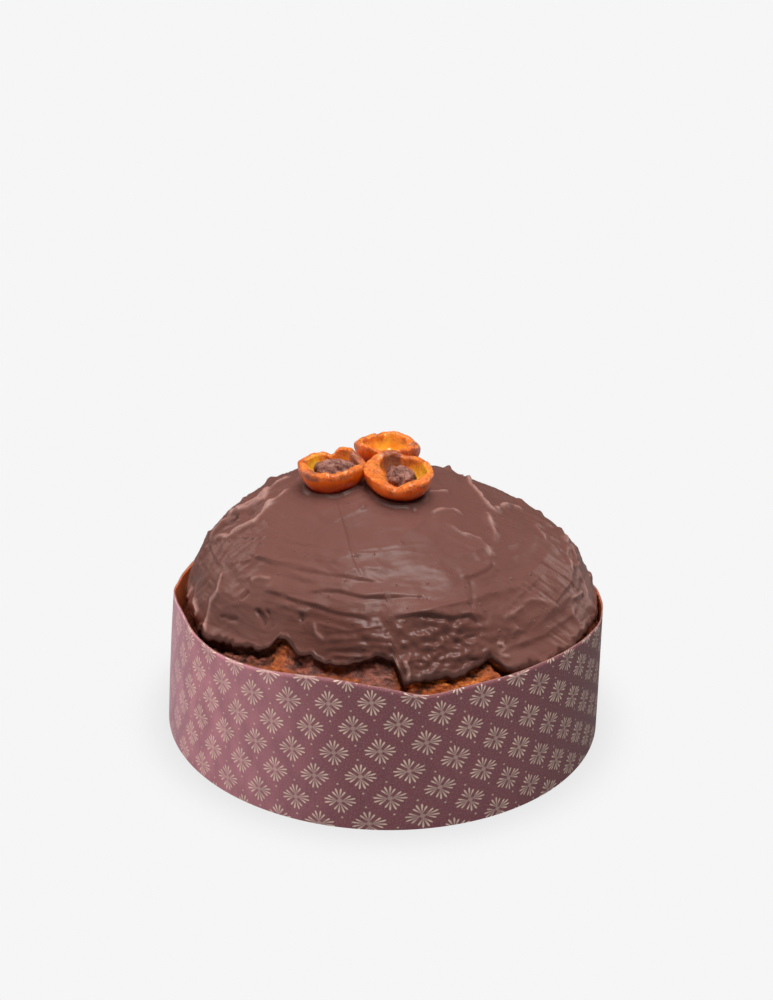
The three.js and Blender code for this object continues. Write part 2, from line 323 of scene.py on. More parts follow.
inks = []
for shift in (0.0, 0.5):
    x = calc("ADD", along, shift * FLORET_ACROSS)
    y = calc("ADD", up, shift * FLORET_UP)
    x = calc("WRAP", x, FLORET_ACROSS / 2, -FLORET_ACROSS / 2)
    y = calc("WRAP", y, FLORET_UP / 2, -FLORET_UP / 2)
    out = length_of(x, y)
    from_fan = calc("WRAP", calc("ARCTAN2", y, x), math.pi / 4, -math.pi / 4)
    x_fan = calc("MULTIPLY_ADD", out, calc("COSINE", from_fan), -FAN_ROOT)
    y_fan = calc("MULTIPLY", out, calc("SINE", from_fan))
    reach = length_of(x_fan, y_fan)
    spread = calc("ARCTAN2", y_fan, x_fan)
    from_petal = calc("SUBTRACT", calc("WRAP", spread, PETAL_STEP, 0.0), PETAL_STEP / 2)
    turned = calc("SUBTRACT", spread, from_petal)
    turned = calc("MULTIPLY", turned, turned)
    share = calc("DIVIDE", reach, calc("MULTIPLY_ADD", turned, -PETAL_SHORTER, PETAL_LENGTH))
    end = calc("MAXIMUM", calc("SUBTRACT", 1.0, calc("POWER", share, PETAL_BLUNT)), 0.0)
    widening = calc("MULTIPLY_ADD", share, PETAL_SPREAD, PETAL_ROOT)
    half_width = calc("MULTIPLY", widening, calc("SQRT", end))
    across = calc("ABSOLUTE", calc("MULTIPLY", reach, from_petal))
    petal = ramp(calc("SUBTRACT", half_width, across), 0.0, 2 * INK_SOFT)
    petal = calc("MULTIPLY", petal, ramp(share, *PETAL_FADE, ROOT_INK, 1.0))
    in_fan = calc("LESS_THAN", calc("ABSOLUTE", spread), 2 * PETAL_STEP)
    petal = calc("MULTIPLY", petal, in_fan)
    heart = ramp(out, 0.5 * FLORET_HEART, FLORET_HEART, HEART_INK, 0.0)
    dot_out = length_of(x, calc("SUBTRACT", calc("ABSOLUTE", y), DOT_OFFSET))
    dot = ramp(dot_out, DOT_RADIUS - INK_SOFT, DOT_RADIUS + INK_SOFT, DOT_INK, 0.0)
    inks.append(calc("MAXIMUM", calc("MAXIMUM", petal, heart), dot))
tree.links.new(calc("MAXIMUM", *inks), outlet.inputs[0])

# The strip was rolled slightly askew, so the rows climb to the right, and steeper past the front.
ROW_CLIMB_LEFT = math.radians(5.34)
ROW_CLIMB_RIGHT = math.radians(18.4)
CLIMB_FROM = -40.7
CLIMB_TO = 61.3
PRINT_TOP = 69.35
PRINT_START = (-15.19, -16.54)
PRINT_RADIUS = 107.0
ARC_STEPS = 2000
ARC_PAST_SEAM = 0.1


def print_place(azimuth, height):
    """The place on the flat printed strip, in millimetres, of a place on the wall."""
    arcs = np.linspace(-math.pi, math.pi + ARC_PAST_SEAM, ARC_STEPS) * PRINT_RADIUS
    climb = ROW_CLIMB_LEFT + (ROW_CLIMB_RIGHT - ROW_CLIMB_LEFT) * blend(CLIMB_FROM, CLIMB_TO, arcs)
    along = np.cumsum(np.cos(climb)) * (arcs[1] - arcs[0])
    down = np.cumsum(np.sin(climb)) * (arcs[1] - arcs[0])
    arc = azimuth * PRINT_RADIUS
    here = np.interp(arc, arcs, climb)
    x = np.interp(arc, arcs, along) - np.interp(0, arcs, along) + (height - PRINT_TOP) * np.sin(here)
    y = (height - PRINT_TOP) * np.cos(here) - np.interp(arc, arcs, down) + np.interp(0, arcs, down)
    return np.stack([x - PRINT_START[0], y - PRINT_START[1]], -1)


# Millimetres round the wall from the front, between which each effect comes and goes: painted light makes the
# print paler to the left, a painted sheen makes it pale further on, and painted shade makes it darker to the
# right.
LIT_LEFT = ((-5, -85), (-290, -200))
SHEEN_SPAN = ((-95, -165), (-270, -200))
SHADED_RIGHT = ((30, 150), (330, 220))
INK_SHADED_RIGHT = (40, 150)
MAUVE = rgb(146, 88, 94)
LIT_MAUVE = rgb(222, 148, 160)
SHADED_MAUVE = rgb(103, 66, 67)
CLOUD_MAUVE = rgb(126, 80, 90)
PALE_SPECK = rgb(196, 140, 144)
DARK_SPECK = rgb(96, 58, 62)
SHEEN_WHITE = rgb(226, 208, 228)
CREAM_INK = rgb(255, 230, 208)
RIB_RADIANS_PER_MM = 3.3
RIB_RISE = 0.25
PAPER_RELIEF = 0.1


def part_of_wall(place, part, most=1.0):
    """A share that rises to its most round the wall and falls off again."""
    comes, goes = part
    return calc("MULTIPLY", ramp(place, *comes, 0, most), ramp(place, *goes))


printed, tree, shader = new_material("printed_paper", Roughness=0.5)
strip_place = add_node(tree, "ShaderNodeUVMap", uv_map="strip").outputs[0]
wall_place = add_node(tree, "ShaderNodeUVMap", uv_map="wall").outputs[0]
florets = add_node(tree, "ShaderNodeGroup", node_tree=floret_print)
tree.links.new(strip_place, florets.inputs[0])
fibres = grain(stretched(wall_place, 0.9, 0.05, 1), 1.0, 3)
specks = grain(wall_place, 1.3, 3, 0.65)
clouds = grain(stretched(wall_place, 0.11, 0.05, 1), 1.0, 3)
round_wall = add_node(tree, "ShaderNodeSeparateXYZ", wall_place).outputs[0]
# A painted sheen: pale bluish streaks along the fibres on the left, where the ink also shows less.
painted_sheen = part_of_wall(round_wall, SHEEN_SPAN)
# Painted light: the ground is paler to the left. Painted shade: it is darker to the right.
ground = mix(part_of_wall(round_wall, LIT_LEFT), MAUVE, LIT_MAUVE)
ground = mix(part_of_wall(round_wall, SHADED_RIGHT, 0.9), ground, SHADED_MAUVE)
ground = tinted(
    ground, (clouds, 0.3, 0.7, 0.4, CLOUD_MAUVE), (specks, 0.45, 0.75, 0.6, PALE_SPECK),
    (specks, 0.45, 0.25, 0.4, DARK_SPECK))
streaks = calc("MULTIPLY", ramp(fibres, 0.35, 0.7, 0.15, 0.65), painted_sheen)
ground = mix(streaks, ground, SHEEN_WHITE)
# The ink: worn at random, washed out by the painted sheen, and dimmed by painted shade to the right.
ink_worn_and_painted_light = calc("MULTIPLY", florets.outputs[0], ramp(clouds, 0.3, 0.65, 1.0, 0.8))
ink_worn_and_painted_light = calc("MULTIPLY", ink_worn_and_painted_light, ramp(painted_sheen, 0, 1, 1.0, 0.55))
ink_worn_and_painted_light = calc("MULTIPLY", ink_worn_and_painted_light, ramp(round_wall, *INK_SHADED_RIGHT, 1.0, 0.8))
feed(shader, Base_Color=mix(ink_worn_and_painted_light, ground, CREAM_INK))
ribs = calc("SINE", calc("MULTIPLY", round_wall, RIB_RADIANS_PER_MM))
ribs = calc("MULTIPLY", ribs, RIB_RISE)
relief(shader, calc("ADD", ribs, calc("ADD", fibres, specks)), PAPER_RELIEF)

TOASTED = rgb(248, 118, 66)
TOASTED_PALE = rgb(255, 144, 92)
CUT_BROWN = rgb(116, 76, 72)
CUT_PALE = rgb(168, 124, 116)

toasted, tree, shader = new_material("toasted_paper", Roughness=0.75)
wall_place = add_node(tree, "ShaderNodeUVMap", uv_map="wall").outputs[0]
fibres = grain(stretched(wall_place, 0.6, 0.15, 1), 1.0, 3)
feed(shader, Base_Color=mix(ramp(fibres, 0.3, 0.7), TOASTED, TOASTED_PALE))
relief(shader, fibres, PAPER_RELIEF)

cut_edge, tree, shader = new_material("cut_paper_edge", Roughness=0.85)
fibres = grain(object_place(tree), 900, 2)
feed(shader, Base_Color=mix(fibres, CUT_BROWN, CUT_PALE))
relief(shader, fibres, PAPER_RELIEF)

for material in (printed, toasted, cut_edge):
    case.data.materials.append(material)
# The paper gets its thickness inwards. Its two maps give millimetres on the wall, and on the flat strip.
solid = case.modifiers.new("paper", "SOLIDIFY")
solid.thickness = PAPER_EDGE * MM
solid.offset = -1
solid.material_offset = 1
solid.material_offset_rim = 2
bpy.ops.object.modifier_apply(modifier=solid.name)

while case.data.uv_layers:
    case.data.uv_layers.remove(case.data.uv_layers[0])
corners = np.empty(len(case.data.loops), dtype=np.int64)
case.data.loops.foreach_get("vertex_index", corners)
x, y, z = (places(case)[corners] / MM).T
azimuth = np.arctan2(x, -y)
for face in case.data.polygons:
    turn = azimuth[face.loop_start:face.loop_start + face.loop_total]
    if face.loop_total == 4 and turn.max() - turn.min() > math.pi:
        turn[turn < 0] += 2 * math.pi
unfolded = np.where(z < HEM_TOP, z - (CASE_BASE_RADIUS - np.hypot(x, y)), z)
wall_map = case.data.uv_layers.new(name="wall")
wall_map.data.foreach_set("uv", np.stack([azimuth * PRINT_RADIUS, unfolded], -1).ravel())
strip_map = case.data.uv_layers.new(name="strip")
strip_map.data.foreach_set("uv", print_place(azimuth, unfolded).ravel())

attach(case, "root")
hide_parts("paper_case")

# Cake
# The uncut cake: a browned sweet-dough crust that fills the case, leaves its wall near the
# rim and rises to a dome that leans to the left. It is craggy and torn where the chocolate
# leaves it bare, and hollow close under the coat's edge, where painted shade darkens it.

FIT = 0.3
DOME_RADIUS = 97.2
DOME_FOOT = 62
CAKE_HEIGHT = 123.8
DOME_ROUND = 1.12
DOME_PEAK = 1.16
DOME_X = 3.6
DOME_Y = -0.7
APEX_LEAN = -12.9
APEX_CURVE = 1.5
# Bulges of the dome: azimuth, rise and width, then the share of the climb and its reach.
DOME_BULGES = [
    (95, 4.2, 32, 0.47, 0.16), (118, -2.8, 30, 0.69, 0.11),
    (-62, 0.9, 20, 0.5, 0.2), (190, 1.2, 26, 0.5, 0.2),
]
SHOULDER = 13
SHOULDER_TOP = 75
SHOULDER_FEATURES = [(-86, -15, 24), (84, -7, 22), (200, -4, 30)]
# The coat's lower edge, as azimuth in degrees and height.
COAT_EDGE = [
    (-180, 72), (-165, 75), (-150, 69), (-136, 72), (-120, 67), (-105, 66), (-85, 65), (-73, 66),
    (-64, 67), (-56, 68), (-50.5, 70), (-45, 72.3), (-42, 73.5), (-36.5, 74), (-33.5, 77.5), (-31.3, 81.3),
    (-28.5, 81.5), (-25.8, 79.4), (-24.2, 77.6), (-20.8, 78.8), (-16.5, 76.7), (-10.8, 77.2),
    (-5.8, 79), (-3, 80.7), (1.4, 80.3), (2.6, 75), (3.4, 72), (4.2, 71.8), (11.5, 73.4), (14, 73),
    (17.2, 72.2), (20, 74.2), (23, 74.8), (26, 75.8), (27.8, 76.8), (29.8, 73.5), (31, 71), (34.8, 70.5),
    (43, 69.5), (57.5, 69.5), (67, 68.5), (78, 66.5), (95, 66), (110, 68), (120, 70), (128, 74),
    (136, 70), (150, 68), (162, 73), (171, 75.5), (180, 72),
]
EDGE_RAGGED = 1.2
EDGE_LOWER = 1.6
EDGE_CIRCLE = 100


def crust_point(azimuth, drop):
    """The plain crust. drop is 0 at the top, 1 at the dome's foot and 2 at the case's floor."""
    turn = np.clip(drop, 0, 1) * math.pi / 2
    climb = np.clip(np.cos(turn), 0, 1) ** DOME_PEAK
    out = np.sin(turn) ** DOME_ROUND
    floor = PAPER + FIT
    height = DOME_FOOT + (CAKE_HEIGHT - DOME_FOOT) * climb
    height = np.where(drop > 1, DOME_FOOT + (floor - DOME_FOOT) * (drop - 1), height)
    radius = DOME_RADIUS + 0 * azimuth
    for at, rise, width, level, reach in DOME_BULGES:
        radius = radius + bumps([(at, rise, width)], azimuth) * bell(climb - level, reach)
    dome = around(azimuth, radius * out, height, x=DOME_X + APEX_LEAN * climb**APEX_CURVE, y=DOME_Y)
    flare = blend(0, SHOULDER, SHOULDER_TOP + bumps(SHOULDER_FEATURES, azimuth) - height)[..., None]
    return dome * (1 - flare) + wall_point(azimuth, height, PAPER + FIT) * flare


def crust_normal(azimuth, drop):
    """The way out of the plain crust."""
    step = 1e-3
    drop = np.maximum(drop, 2 * step)
    across = crust_point(azimuth + step, drop) - crust_point(azimuth - step, drop)
    down = crust_point(azimuth, drop + step) - crust_point(azimuth, drop - step)
    normal = np.cross(down, across)
    return normal / np.linalg.norm(normal, axis=-1, keepdims=True)


def drop_at(height):
    """The drop at which the dome has this height."""
    climb = np.clip((height - DOME_FOOT) / (CAKE_HEIGHT - DOME_FOOT), 0, 1)
    return np.arccos(climb ** (1 / DOME_PEAK)) / (math.pi / 2)


SEED_SHIFT = 7.31


def lumps(points, size, seed=0.0, stretch=(1, 1, 1)):
    """Smooth noise about 0 with lumps of this size, divided by the stretch along each axis."""
    scaled = points * np.array(stretch) / size + seed * SEED_SHIFT
    return np.array([noise.noise(Vector(p)) for p in scaled])


def unevenness(points, depth_and_size, seed, stretch=(1, 1, 1)):
    depth, size = depth_and_size
    return depth * lumps(points, size, seed, stretch)


def folds(points, crest, size, seed, stretch=(1, 1, 1)):
    """Sharp folds, as high as the crest along the lines where smooth noise is 0."""
    return crest - np.abs(lumps(points, size, seed, stretch))


def wandering(points, size, reach, seed):
    """Points pushed about by noise, so that lines drawn through them waver."""
    return points + reach * np.stack([lumps(points, size, seed + turn) for turn in range(3)], -1)


def edge_height(azimuth):
    """The height of the coat's ragged lower edge."""
    at, height = np.array(COAT_EDGE).T
    circle = around(azimuth, EDGE_CIRCLE, 0.0)
    ragged = lumps(circle, 9, 31) + 0.7 * lumps(circle, 3.2, 32)
    return np.interp(np.degrees(azimuth), at, height) - EDGE_LOWER + EDGE_RAGGED * ragged


CAKE_COLUMNS = 960
CAKE_CUTS = [7, 8]
SIDE_ROWS = 8
BAND_ROWS = 52
BAND_FOOT = 1.12
BAND_OVER = 6
# How far below the coat's edge the crust is bare and hollowed out. Each BARE pair says where it is
# still covered, and where it is fully bare.
BARE_TOP = (-3, 1)
BARE_FOOT = (18, 8)
UNDERCUT = 4.2
UNDERCUT_AT = 0.7
UNDERCUT_REACH = 2.0
UNDERCUT_SHARE = 0.7
UNDERCUT_MORE = [(-55, 0.4, 16), (-10, 0.5, 10), (13, -0.6, 9), (42, 0.3, 12)]
# Crags, as depth and size: lumps, flaky layers and crumbs. Then the long splits that lie level.
LUMP_CRAGS = (1.2, 7)
FLAKES = (2.0, 3.0)
FLAKE_STRETCH = (0.3, 0.3, 1.1)
FLAKES_SUNK = 0.5
CRUMBS = (1.5, 1.6)
CRUMB_STRETCH = (0.6, 0.6, 1)
SPLIT_CREST = 0.4
SPLIT_SIZE = 6
SPLIT_STRETCH = (0.2, 0.2, 1.8)
CRAGS_SUNK = 0.9
ROOM_USED = 0.8
# Where chocolate has run down the crust: azimuth, share, width, and where it ends above the rim.
SMEARS = [
    (-75, 2.0, 30, -25), (-29, -0.45, 5, -20), (-12, 1.6, 14, -2.7), (14, -1.2, 10, -20),
    (48, 1.0, 16, -1), (95, 0.9, 25, -12), (170, 0.9, 40, -3), (-130, 1.0, 40, -6),
]
SMEAR_SOFT = 1.5
# Painted shade round the crust: azimuth, share and width. It is deeper at the left, and a negative share
# lightens the front.
PAINTED_CRUST_SHADE = [(-66, 0.6, 20), (-12, -0.9, 13)]

cake, azimuth, rise = open_tube("cake_crust", CAKE_COLUMNS, CAKE_CUTS)
rows = rows_of(CAKE_CUTS)
row = np.round(rise * rows)
band_top = drop_at(edge_height(azimuth) + BAND_OVER)
drop = np.interp(row, [1, SIDE_ROWS], [2.0, BAND_FOOT])
drop = np.where(row > SIDE_ROWS, BAND_FOOT + (band_top - BAND_FOOT) * (row - SIDE_ROWS) / BAND_ROWS, drop)
dome_share = (row - SIDE_ROWS - BAND_ROWS) / (rows - SIDE_ROWS - BAND_ROWS)
drop = np.where(dome_share > 0, band_top * (1 - dome_share), drop)
points = crust_point(azimuth, drop)
below = edge_height(azimuth) - points[:, 2]
bare = blend(*BARE_TOP, below) * blend(*BARE_FOOT, below)
flaky = wandering(points, 6, 1.5, 19)
crags = unevenness(points, LUMP_CRAGS, 3)
crags = crags + np.abs(unevenness(flaky, FLAKES, 5, FLAKE_STRETCH)) - FLAKES_SUNK
splits = folds(flaky, SPLIT_CREST, SPLIT_SIZE, 10, SPLIT_STRETCH)
crags += np.abs(unevenness(points, CRUMBS, 9, CRUMB_STRETCH)) + splits
undercut = UNDERCUT * bell(below - UNDERCUT_AT, UNDERCUT_REACH)
undercut *= UNDERCUT_SHARE + bumps(UNDERCUT_MORE, azimuth)
room = np.linalg.norm(wall_point(azimuth, points[:, 2], PAPER + FIT) - points, axis=1)
pushed = np.minimum(bare * (crags - CRAGS_SUNK) - undercut, ROOM_USED * room)
points += crust_normal(azimuth, drop) * pushed[:, None]
points[row == 0] *= [0, 0, 1]
move_to(cake, points)
over_rim = points[:, 2] - rim_height(azimuth) + SMEAR_SOFT * lumps(points, 6, 17)
smeared = 0
for smear_at, share, width, end in SMEARS:
    above_end = blend(-SMEAR_SOFT, SMEAR_SOFT, over_rim - end)
    smeared = smeared + bumps([(smear_at, share, width)], azimuth) * above_end
store(cake, "smeared", np.clip(smeared, -1, 1))
# Painted shade: darker in the low crags and in the hollow under the coat's edge.
painted_shade = blend(0.55, -0.5, crags) + 0.9 * blend(0.3, 1.0, undercut / UNDERCUT) + bumps(PAINTED_CRUST_SHADE, azimuth)
store(cake, "painted_shade", np.clip(painted_shade, 0, 1))
close_up(cake)

CRUST_DARK = rgb(84, 44, 31)
CRUST_BROWN = rgb(158, 82, 50)
TORN_BROWN = rgb(134, 60, 22)
TORN_GOLD = rgb(180, 90, 28)
CRUMB_GOLD = rgb(238, 142, 56)
RUN_DARK = rgb(76, 40, 32)
RUN_PALE = rgb(150, 86, 68)
SHADE_BROWN = rgb(36, 17, 11)
CRUST_RELIEF = 1.5

crust, tree, shader = new_material("browned_crust")
place = object_place(tree)
smeared = share_of(tree, "smeared")
painted_shade = share_of(tree, "painted_shade")
patches = grain(place, 130, 3, 0.6)
crumb = grain(stretched(place, 0.45, 0.45, 1.4), 520, 4, 0.65)
colour = mix(ramp(patches, 0.35, 0.65), CRUST_DARK, CRUST_BROWN)
torn = ramp(smeared, -0.7, 0.1, 0.9, 0.3)
colour = mix(torn, colour, mix(patches, TORN_BROWN, TORN_GOLD))
crumbs = calc("MULTIPLY", ramp(crumb, 0.5, 0.72), torn)
colour = mix(crumbs, colour, CRUMB_GOLD)
run_over = calc("MULTIPLY_ADD", smeared, 1.3, calc("MULTIPLY_ADD", patches, 1.4, -0.7))
run_over = ramp(run_over, 0.25, 0.6)
colour = mix(run_over, colour, mix(ramp(crumb, 0.3, 0.7), RUN_DARK, RUN_PALE))
feed(shader, Base_Color=tinted(colour, (painted_shade, 0, 1, 0.85, SHADE_BROWN)))
feed(shader, Roughness=ramp(run_over, 0, 1, 0.7, 0.32))
relief(shader, crumb, CRUST_RELIEF)
cake.data.materials.append(crust)
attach(cake, "root")
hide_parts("cake")

# Chocolate coat
# A skin of soft chocolate about three millimetres thick, spread over the dome with a
# spatula while warm. Its sweeps overlap in faint steps, it is folded at the sides and
# rippled low on the front, and it ends in a thick ragged edge above the paper.

COAT = 2.7
COAT_COLUMNS = 560
COAT_CUTS = [12, 12]
INSIDE_ROWS = 6
LIP_ROWS = 4
LIP_DROP = 0.014
COAT_THINNEST = 0.8
FRONT_DENSER = 0.3
EDGE_DENSER = 0.85
HEIGHT_ROUNDS = 4
LINE_ENDS = 0.14

coat, azimuth, along = open_tube("chocolate_coat_spread", COAT_COLUMNS, COAT_CUTS)
azimuth = azimuth - FRONT_DENSER * np.sin(azimuth)
rows = rows_of(COAT_CUTS)
row = np.round(along * rows)
outside = row >= INSIDE_ROWS + LIP_ROWS
inside = row <= INSIDE_ROWS
on_lip = ~inside & ~outside
share = np.where(outside, 1 - (row - INSIDE_ROWS - LIP_ROWS) / (rows - INSIDE_ROWS - LIP_ROWS), 1)
share = np.where(inside, row / INSIDE_ROWS, share) ** EDGE_DENSER
round_lip = np.clip((row - INSIDE_ROWS) / LIP_ROWS, 0, 1) * math.pi / 2
drop = drop_at(edge_height(azimuth)) * share + LIP_DROP * np.cos(round_lip) * on_lip
normal = crust_normal(azimuth, drop)
skin = crust_point(azimuth, drop)
dome = np.where(outside)[0]
points = (skin + normal * (FIT + COAT))[dome]
normals = normal[dome]
at = azimuth[dome]
level = points[:, 2]
raised = np.zeros(len(dome))


def on_coat(at, height):
    """The point of the plain coat at an azimuth in degrees and a height."""
    azimuth = np.radians(np.array([at], dtype=float))
    drop = drop_at(np.array([height], dtype=float))
    for _ in range(HEIGHT_ROUNDS):
        drop = drop_at(height - crust_normal(azimuth, drop)[:, 2] * (FIT + COAT))
    return (crust_point(azimuth, drop) + crust_normal(azimuth, drop) * (FIT + COAT))[0]


def steps(value, count, fall):
    """Soft steps over a value from -1 to 1: each climbs from 0 to 1 and falls over its last share."""
    share = value * count - np.floor(value * count)
    return blend(0, 1 - fall, share) * blend(0, fall, 1 - share)


def beside_line(spots, wavering):
    """For points that waver: the distance to a line through spots and to its left, and a fade at its ends."""
    nearest = np.full(len(points), np.inf)
    side = np.zeros(len(points))
    share = np.zeros(len(points))
    stops = [on_coat(*spot) for spot in spots]
    lengths = [np.linalg.norm(b - a) for a, b in zip(stops, stops[1:])]
    done = 0.0
    for start, end, length in zip(stops, stops[1:], lengths):
        direction = (end - start) / length
        offset = wavering - start
        way = np.clip(offset @ direction, 0, length)
        away = offset - way[:, None] * direction
        distance = np.linalg.norm(away, axis=1)
        closer = distance < nearest
        nearest = np.where(closer, distance, nearest)
        side = np.where(closer, np.sum(away * np.cross(normals, direction), axis=1), side)
        share = np.where(closer, (done + way) / sum(lengths), share)
        done += length
    return nearest, side, blend(0, LINE_ENDS, share) * blend(0, LINE_ENDS, 1 - share)


# Spatula sweeps, each laid softly over those before it: nearly flat, tilted and scratched a little,
# with a thin ridge of chocolate left along its upper side.
SWEEPS = 54
SWEEP_TURN = 16
SWEEP_LOWEST = 72
SWEEP_CLIMB = 54
SWEEP_UPWARDS = 0.7
SWEEP_HALF_LENGTH = (28, 60)
SWEEP_HALF_WIDTH = (9, 18)
SWEEP_CURVE = 0.4
SWEEP_LEVEL = (-0.45, 0.35)
SWEEP_TILT = 0.35
SWEEP_ENDS = 0.7
SWEEP_SIDES = 0.6
SWEEP_FACING = (0.45, 0.85)
SWEEP_RIDGE = (0.1, 0.6)
SWEEP_RIDGE_AT = 0.74
SWEEP_RIDGE_WIDTH = 0.9
SWEEP_RIDGE_ENDS = 0.5
SCRATCH_DEPTH = 0.22
SCRATCH_WIDTH = 2.2
HAND_SEED = 7

loose = wandering(wandering(points, 14, 1.4, 41), 4.5, 0.6, 44)
hand = random.Random(HAND_SEED)
for _ in range(SWEEPS):
    heading = math.radians(hand.uniform(-SWEEP_TURN, SWEEP_TURN))
    centre_at = hand.uniform(-180, 180)
    centre = on_coat(centre_at, SWEEP_LOWEST + SWEEP_CLIMB * hand.random() ** SWEEP_UPWARDS)
    out = normals[np.argmin(np.linalg.norm(points - centre, axis=1))]
    level_way = np.array([math.cos(math.radians(centre_at)), math.sin(math.radians(centre_at)), 0])
    lengthwise = level_way * math.cos(heading) + np.cross(out, level_way) * math.sin(heading)
    half_width = hand.uniform(*SWEEP_HALF_WIDTH)
    along_sweep = (loose - centre) @ lengthwise / hand.uniform(*SWEEP_HALF_LENGTH)
    bent = hand.uniform(-SWEEP_CURVE, SWEEP_CURVE) * along_sweep * along_sweep
    across_sweep = (loose - centre) @ np.cross(out, lengthwise) / half_width + bent
    from_end = 1 - np.abs(along_sweep)
    facing = blend(*SWEEP_FACING, normals @ out)
    mask = blend(0, SWEEP_ENDS, from_end) * blend(0, SWEEP_SIDES, 1 - np.abs(across_sweep)) * facing
    flat = hand.uniform(*SWEEP_LEVEL) + hand.uniform(-SWEEP_TILT, SWEEP_TILT) * across_sweep
    touched = mask > 0
    scratch_place = np.stack([2 * along_sweep, across_sweep * half_width, 0 * along_sweep + centre_at], -1)
    flat[touched] += SCRATCH_DEPTH * lumps(scratch_place[touched], SCRATCH_WIDTH)
    raised = raised * (1 - mask) + flat * mask
    ridge = bell((across_sweep - SWEEP_RIDGE_AT) * half_width, SWEEP_RIDGE_WIDTH)
    raised += hand.uniform(*SWEEP_RIDGE) * ridge * blend(0, SWEEP_RIDGE_ENDS, from_end) * facing

# Strokes: low steps that run round the dome in patches, with thin ridges between them.
STROKE_RISE = 0.45
STROKE_SIZE = 30
STROKE_STEPS = 4
STROKE_FALL = 0.3
THIN_RIDGE_RISE = 0.9
THIN_RIDGE_CREST = 0.2
THIN_RIDGE_SIZE = 10
UNSTROKED = [(65, 1, 30)]
strokes = steps(lumps(loose, STROKE_SIZE, 51, (0.14, 0.14, 1.5)), STROKE_STEPS, STROKE_FALL)
patches = blend(-0.15, 0.3, lumps(points, 26, 52)) * (1 - bumps(UNSTROKED, at))
raised += STROKE_RISE * strokes * patches * blend(130, 118, level)
thin_ridges = THIN_RIDGE_RISE * folds(loose, THIN_RIDGE_CREST, THIN_RIDGE_SIZE, 53, (0.1, 0.1, 1.5))
raised += thin_ridges * blend(128, 118, level)

# Uneven zones: rippled low on the front, dragged strokes left of that, folds and crinkles at the
# sides, and a shiny hollow. Each has its azimuth and width, and the heights between which it sets in.
RIPPLED = (14, 17, 96, 89)
DRAGGED = (-11, 11, 97, 90)
CRINKLED = (99, 14, 112, 98)
FOLDED = (-90, 20, 124, 112)
SUNKEN = (-16, 12, 99, 94)
BEHIND = [(180, 1, 60)]
MM_PER_DEGREE = 1.75
FOLD_CREST = 0.3
ZONE_STEPS = 3
ZONE_FALL = 0.5


def zone(middle, width, top, full):
    """A share of 1 at an azimuth, below the heights at which it sets in."""
    return bumps([(middle, 1, width)], at) * blend(top, full, level)


rippled = zone(*RIPPLED)
dragged = zone(*DRAGGED)
crinkled = zone(*CRINKLED)
folded = zone(*FOLDED)
behind = bumps(BEHIND, at)
arc = np.stack([np.degrees(at) * MM_PER_DEGREE, 0 * at, level], -1)
loose_arc = wandering(arc, 9, 1.6, 55)
# Each line has the rise of its relief, then the size, seed and stretch of the noise that shapes it.
raised += rippled * (0.8 * steps(lumps(loose_arc, 17, 1, (0.3, 1, 1.5)), ZONE_STEPS, ZONE_FALL) - 0.4)
raised += rippled * (1.5 * lumps(arc, 4.6, 2, (0.55, 1, 1.2)) + 1.3 * lumps(arc, 2.5, 3, (0.7, 1, 1.1)))
raised += dragged * (0.7 * steps(lumps(loose_arc, 15, 4, (0.22, 1, 1.5)), ZONE_STEPS, ZONE_FALL) - 0.3)
raised += dragged * 0.5 * lumps(arc, 3.2, 5, (0.2, 1, 1.2))
raised += crinkled * 2.4 * folds(loose_arc, FOLD_CREST, 8, 6, (1.1, 1, 0.3))
raised += crinkled * 1.1 * folds(arc, FOLD_CREST, 3.6, 7, (1, 1, 0.28))
raised += folded * 3.2 * folds(loose_arc, FOLD_CREST, 11, 8, (1, 1, 0.3))
raised += folded * 1.5 * folds(arc, FOLD_CREST, 4.6, 9, (1, 1, 0.3))
raised += behind * 0.7 * (steps(lumps(loose, 24, 11, (0.3, 0.3, 1.4)), ZONE_STEPS, ZONE_FALL) - 0.4)
raised += behind * 0.8 * lumps(points, 6, 12, (1, 1, 1.2))
raised += 0.9 * lumps(points, 22, 13) + 0.35 * lumps(points, 9, 14) + 0.12 * lumps(points, 4, 15)

# Fine brush lines: level at the front, rising to the right at the left, and steep at the right.
BRUSH_TURNS = [(-85, 40, 35), (85, -55, 30)]
BRUSH_DEEPER = [(-85, 1.0, 25), (85, 0.8, 25)]
BRUSH_DEPTH = 0.75
BRUSH_CREST = 0.25
BRUSH_SIZE = 5
BRUSH_STRETCH = (0.12, 1, 1.2)
turn = np.radians(bumps(BRUSH_TURNS, at))
lengthways = arc[:, 0] * np.cos(turn) + level * np.sin(turn)
crossways = level * np.cos(turn) - arc[:, 0] * np.sin(turn)
brushed = wandering(np.stack([lengthways, 0 * at, crossways], -1), 12, 1.5, 58)
brush_here = blend(160, 130, np.abs(np.degrees(at))) * blend(-0.25, 0.25, lumps(points, 20, 62))
brush_here *= (1 + bumps(BRUSH_DEEPER, at)) * blend(120, 108, level)
raised += BRUSH_DEPTH * brush_here * folds(brushed, BRUSH_CREST, BRUSH_SIZE, 61, BRUSH_STRETCH)

# Low on the front the coat swells out and turns in again above its edge: azimuth, width, height,
# reach and rise of each swell.
SWELLS = [(-13, 14, 78, 9, -2.2), (-32, 12, 84, 6, -1.2), (20, 20, 97, 4, 0.6)]
for swell_at, width, height, reach, rise in SWELLS:
    raised += bumps([(swell_at, rise, width)], at) * bell(loose[:, 2] - height, reach)

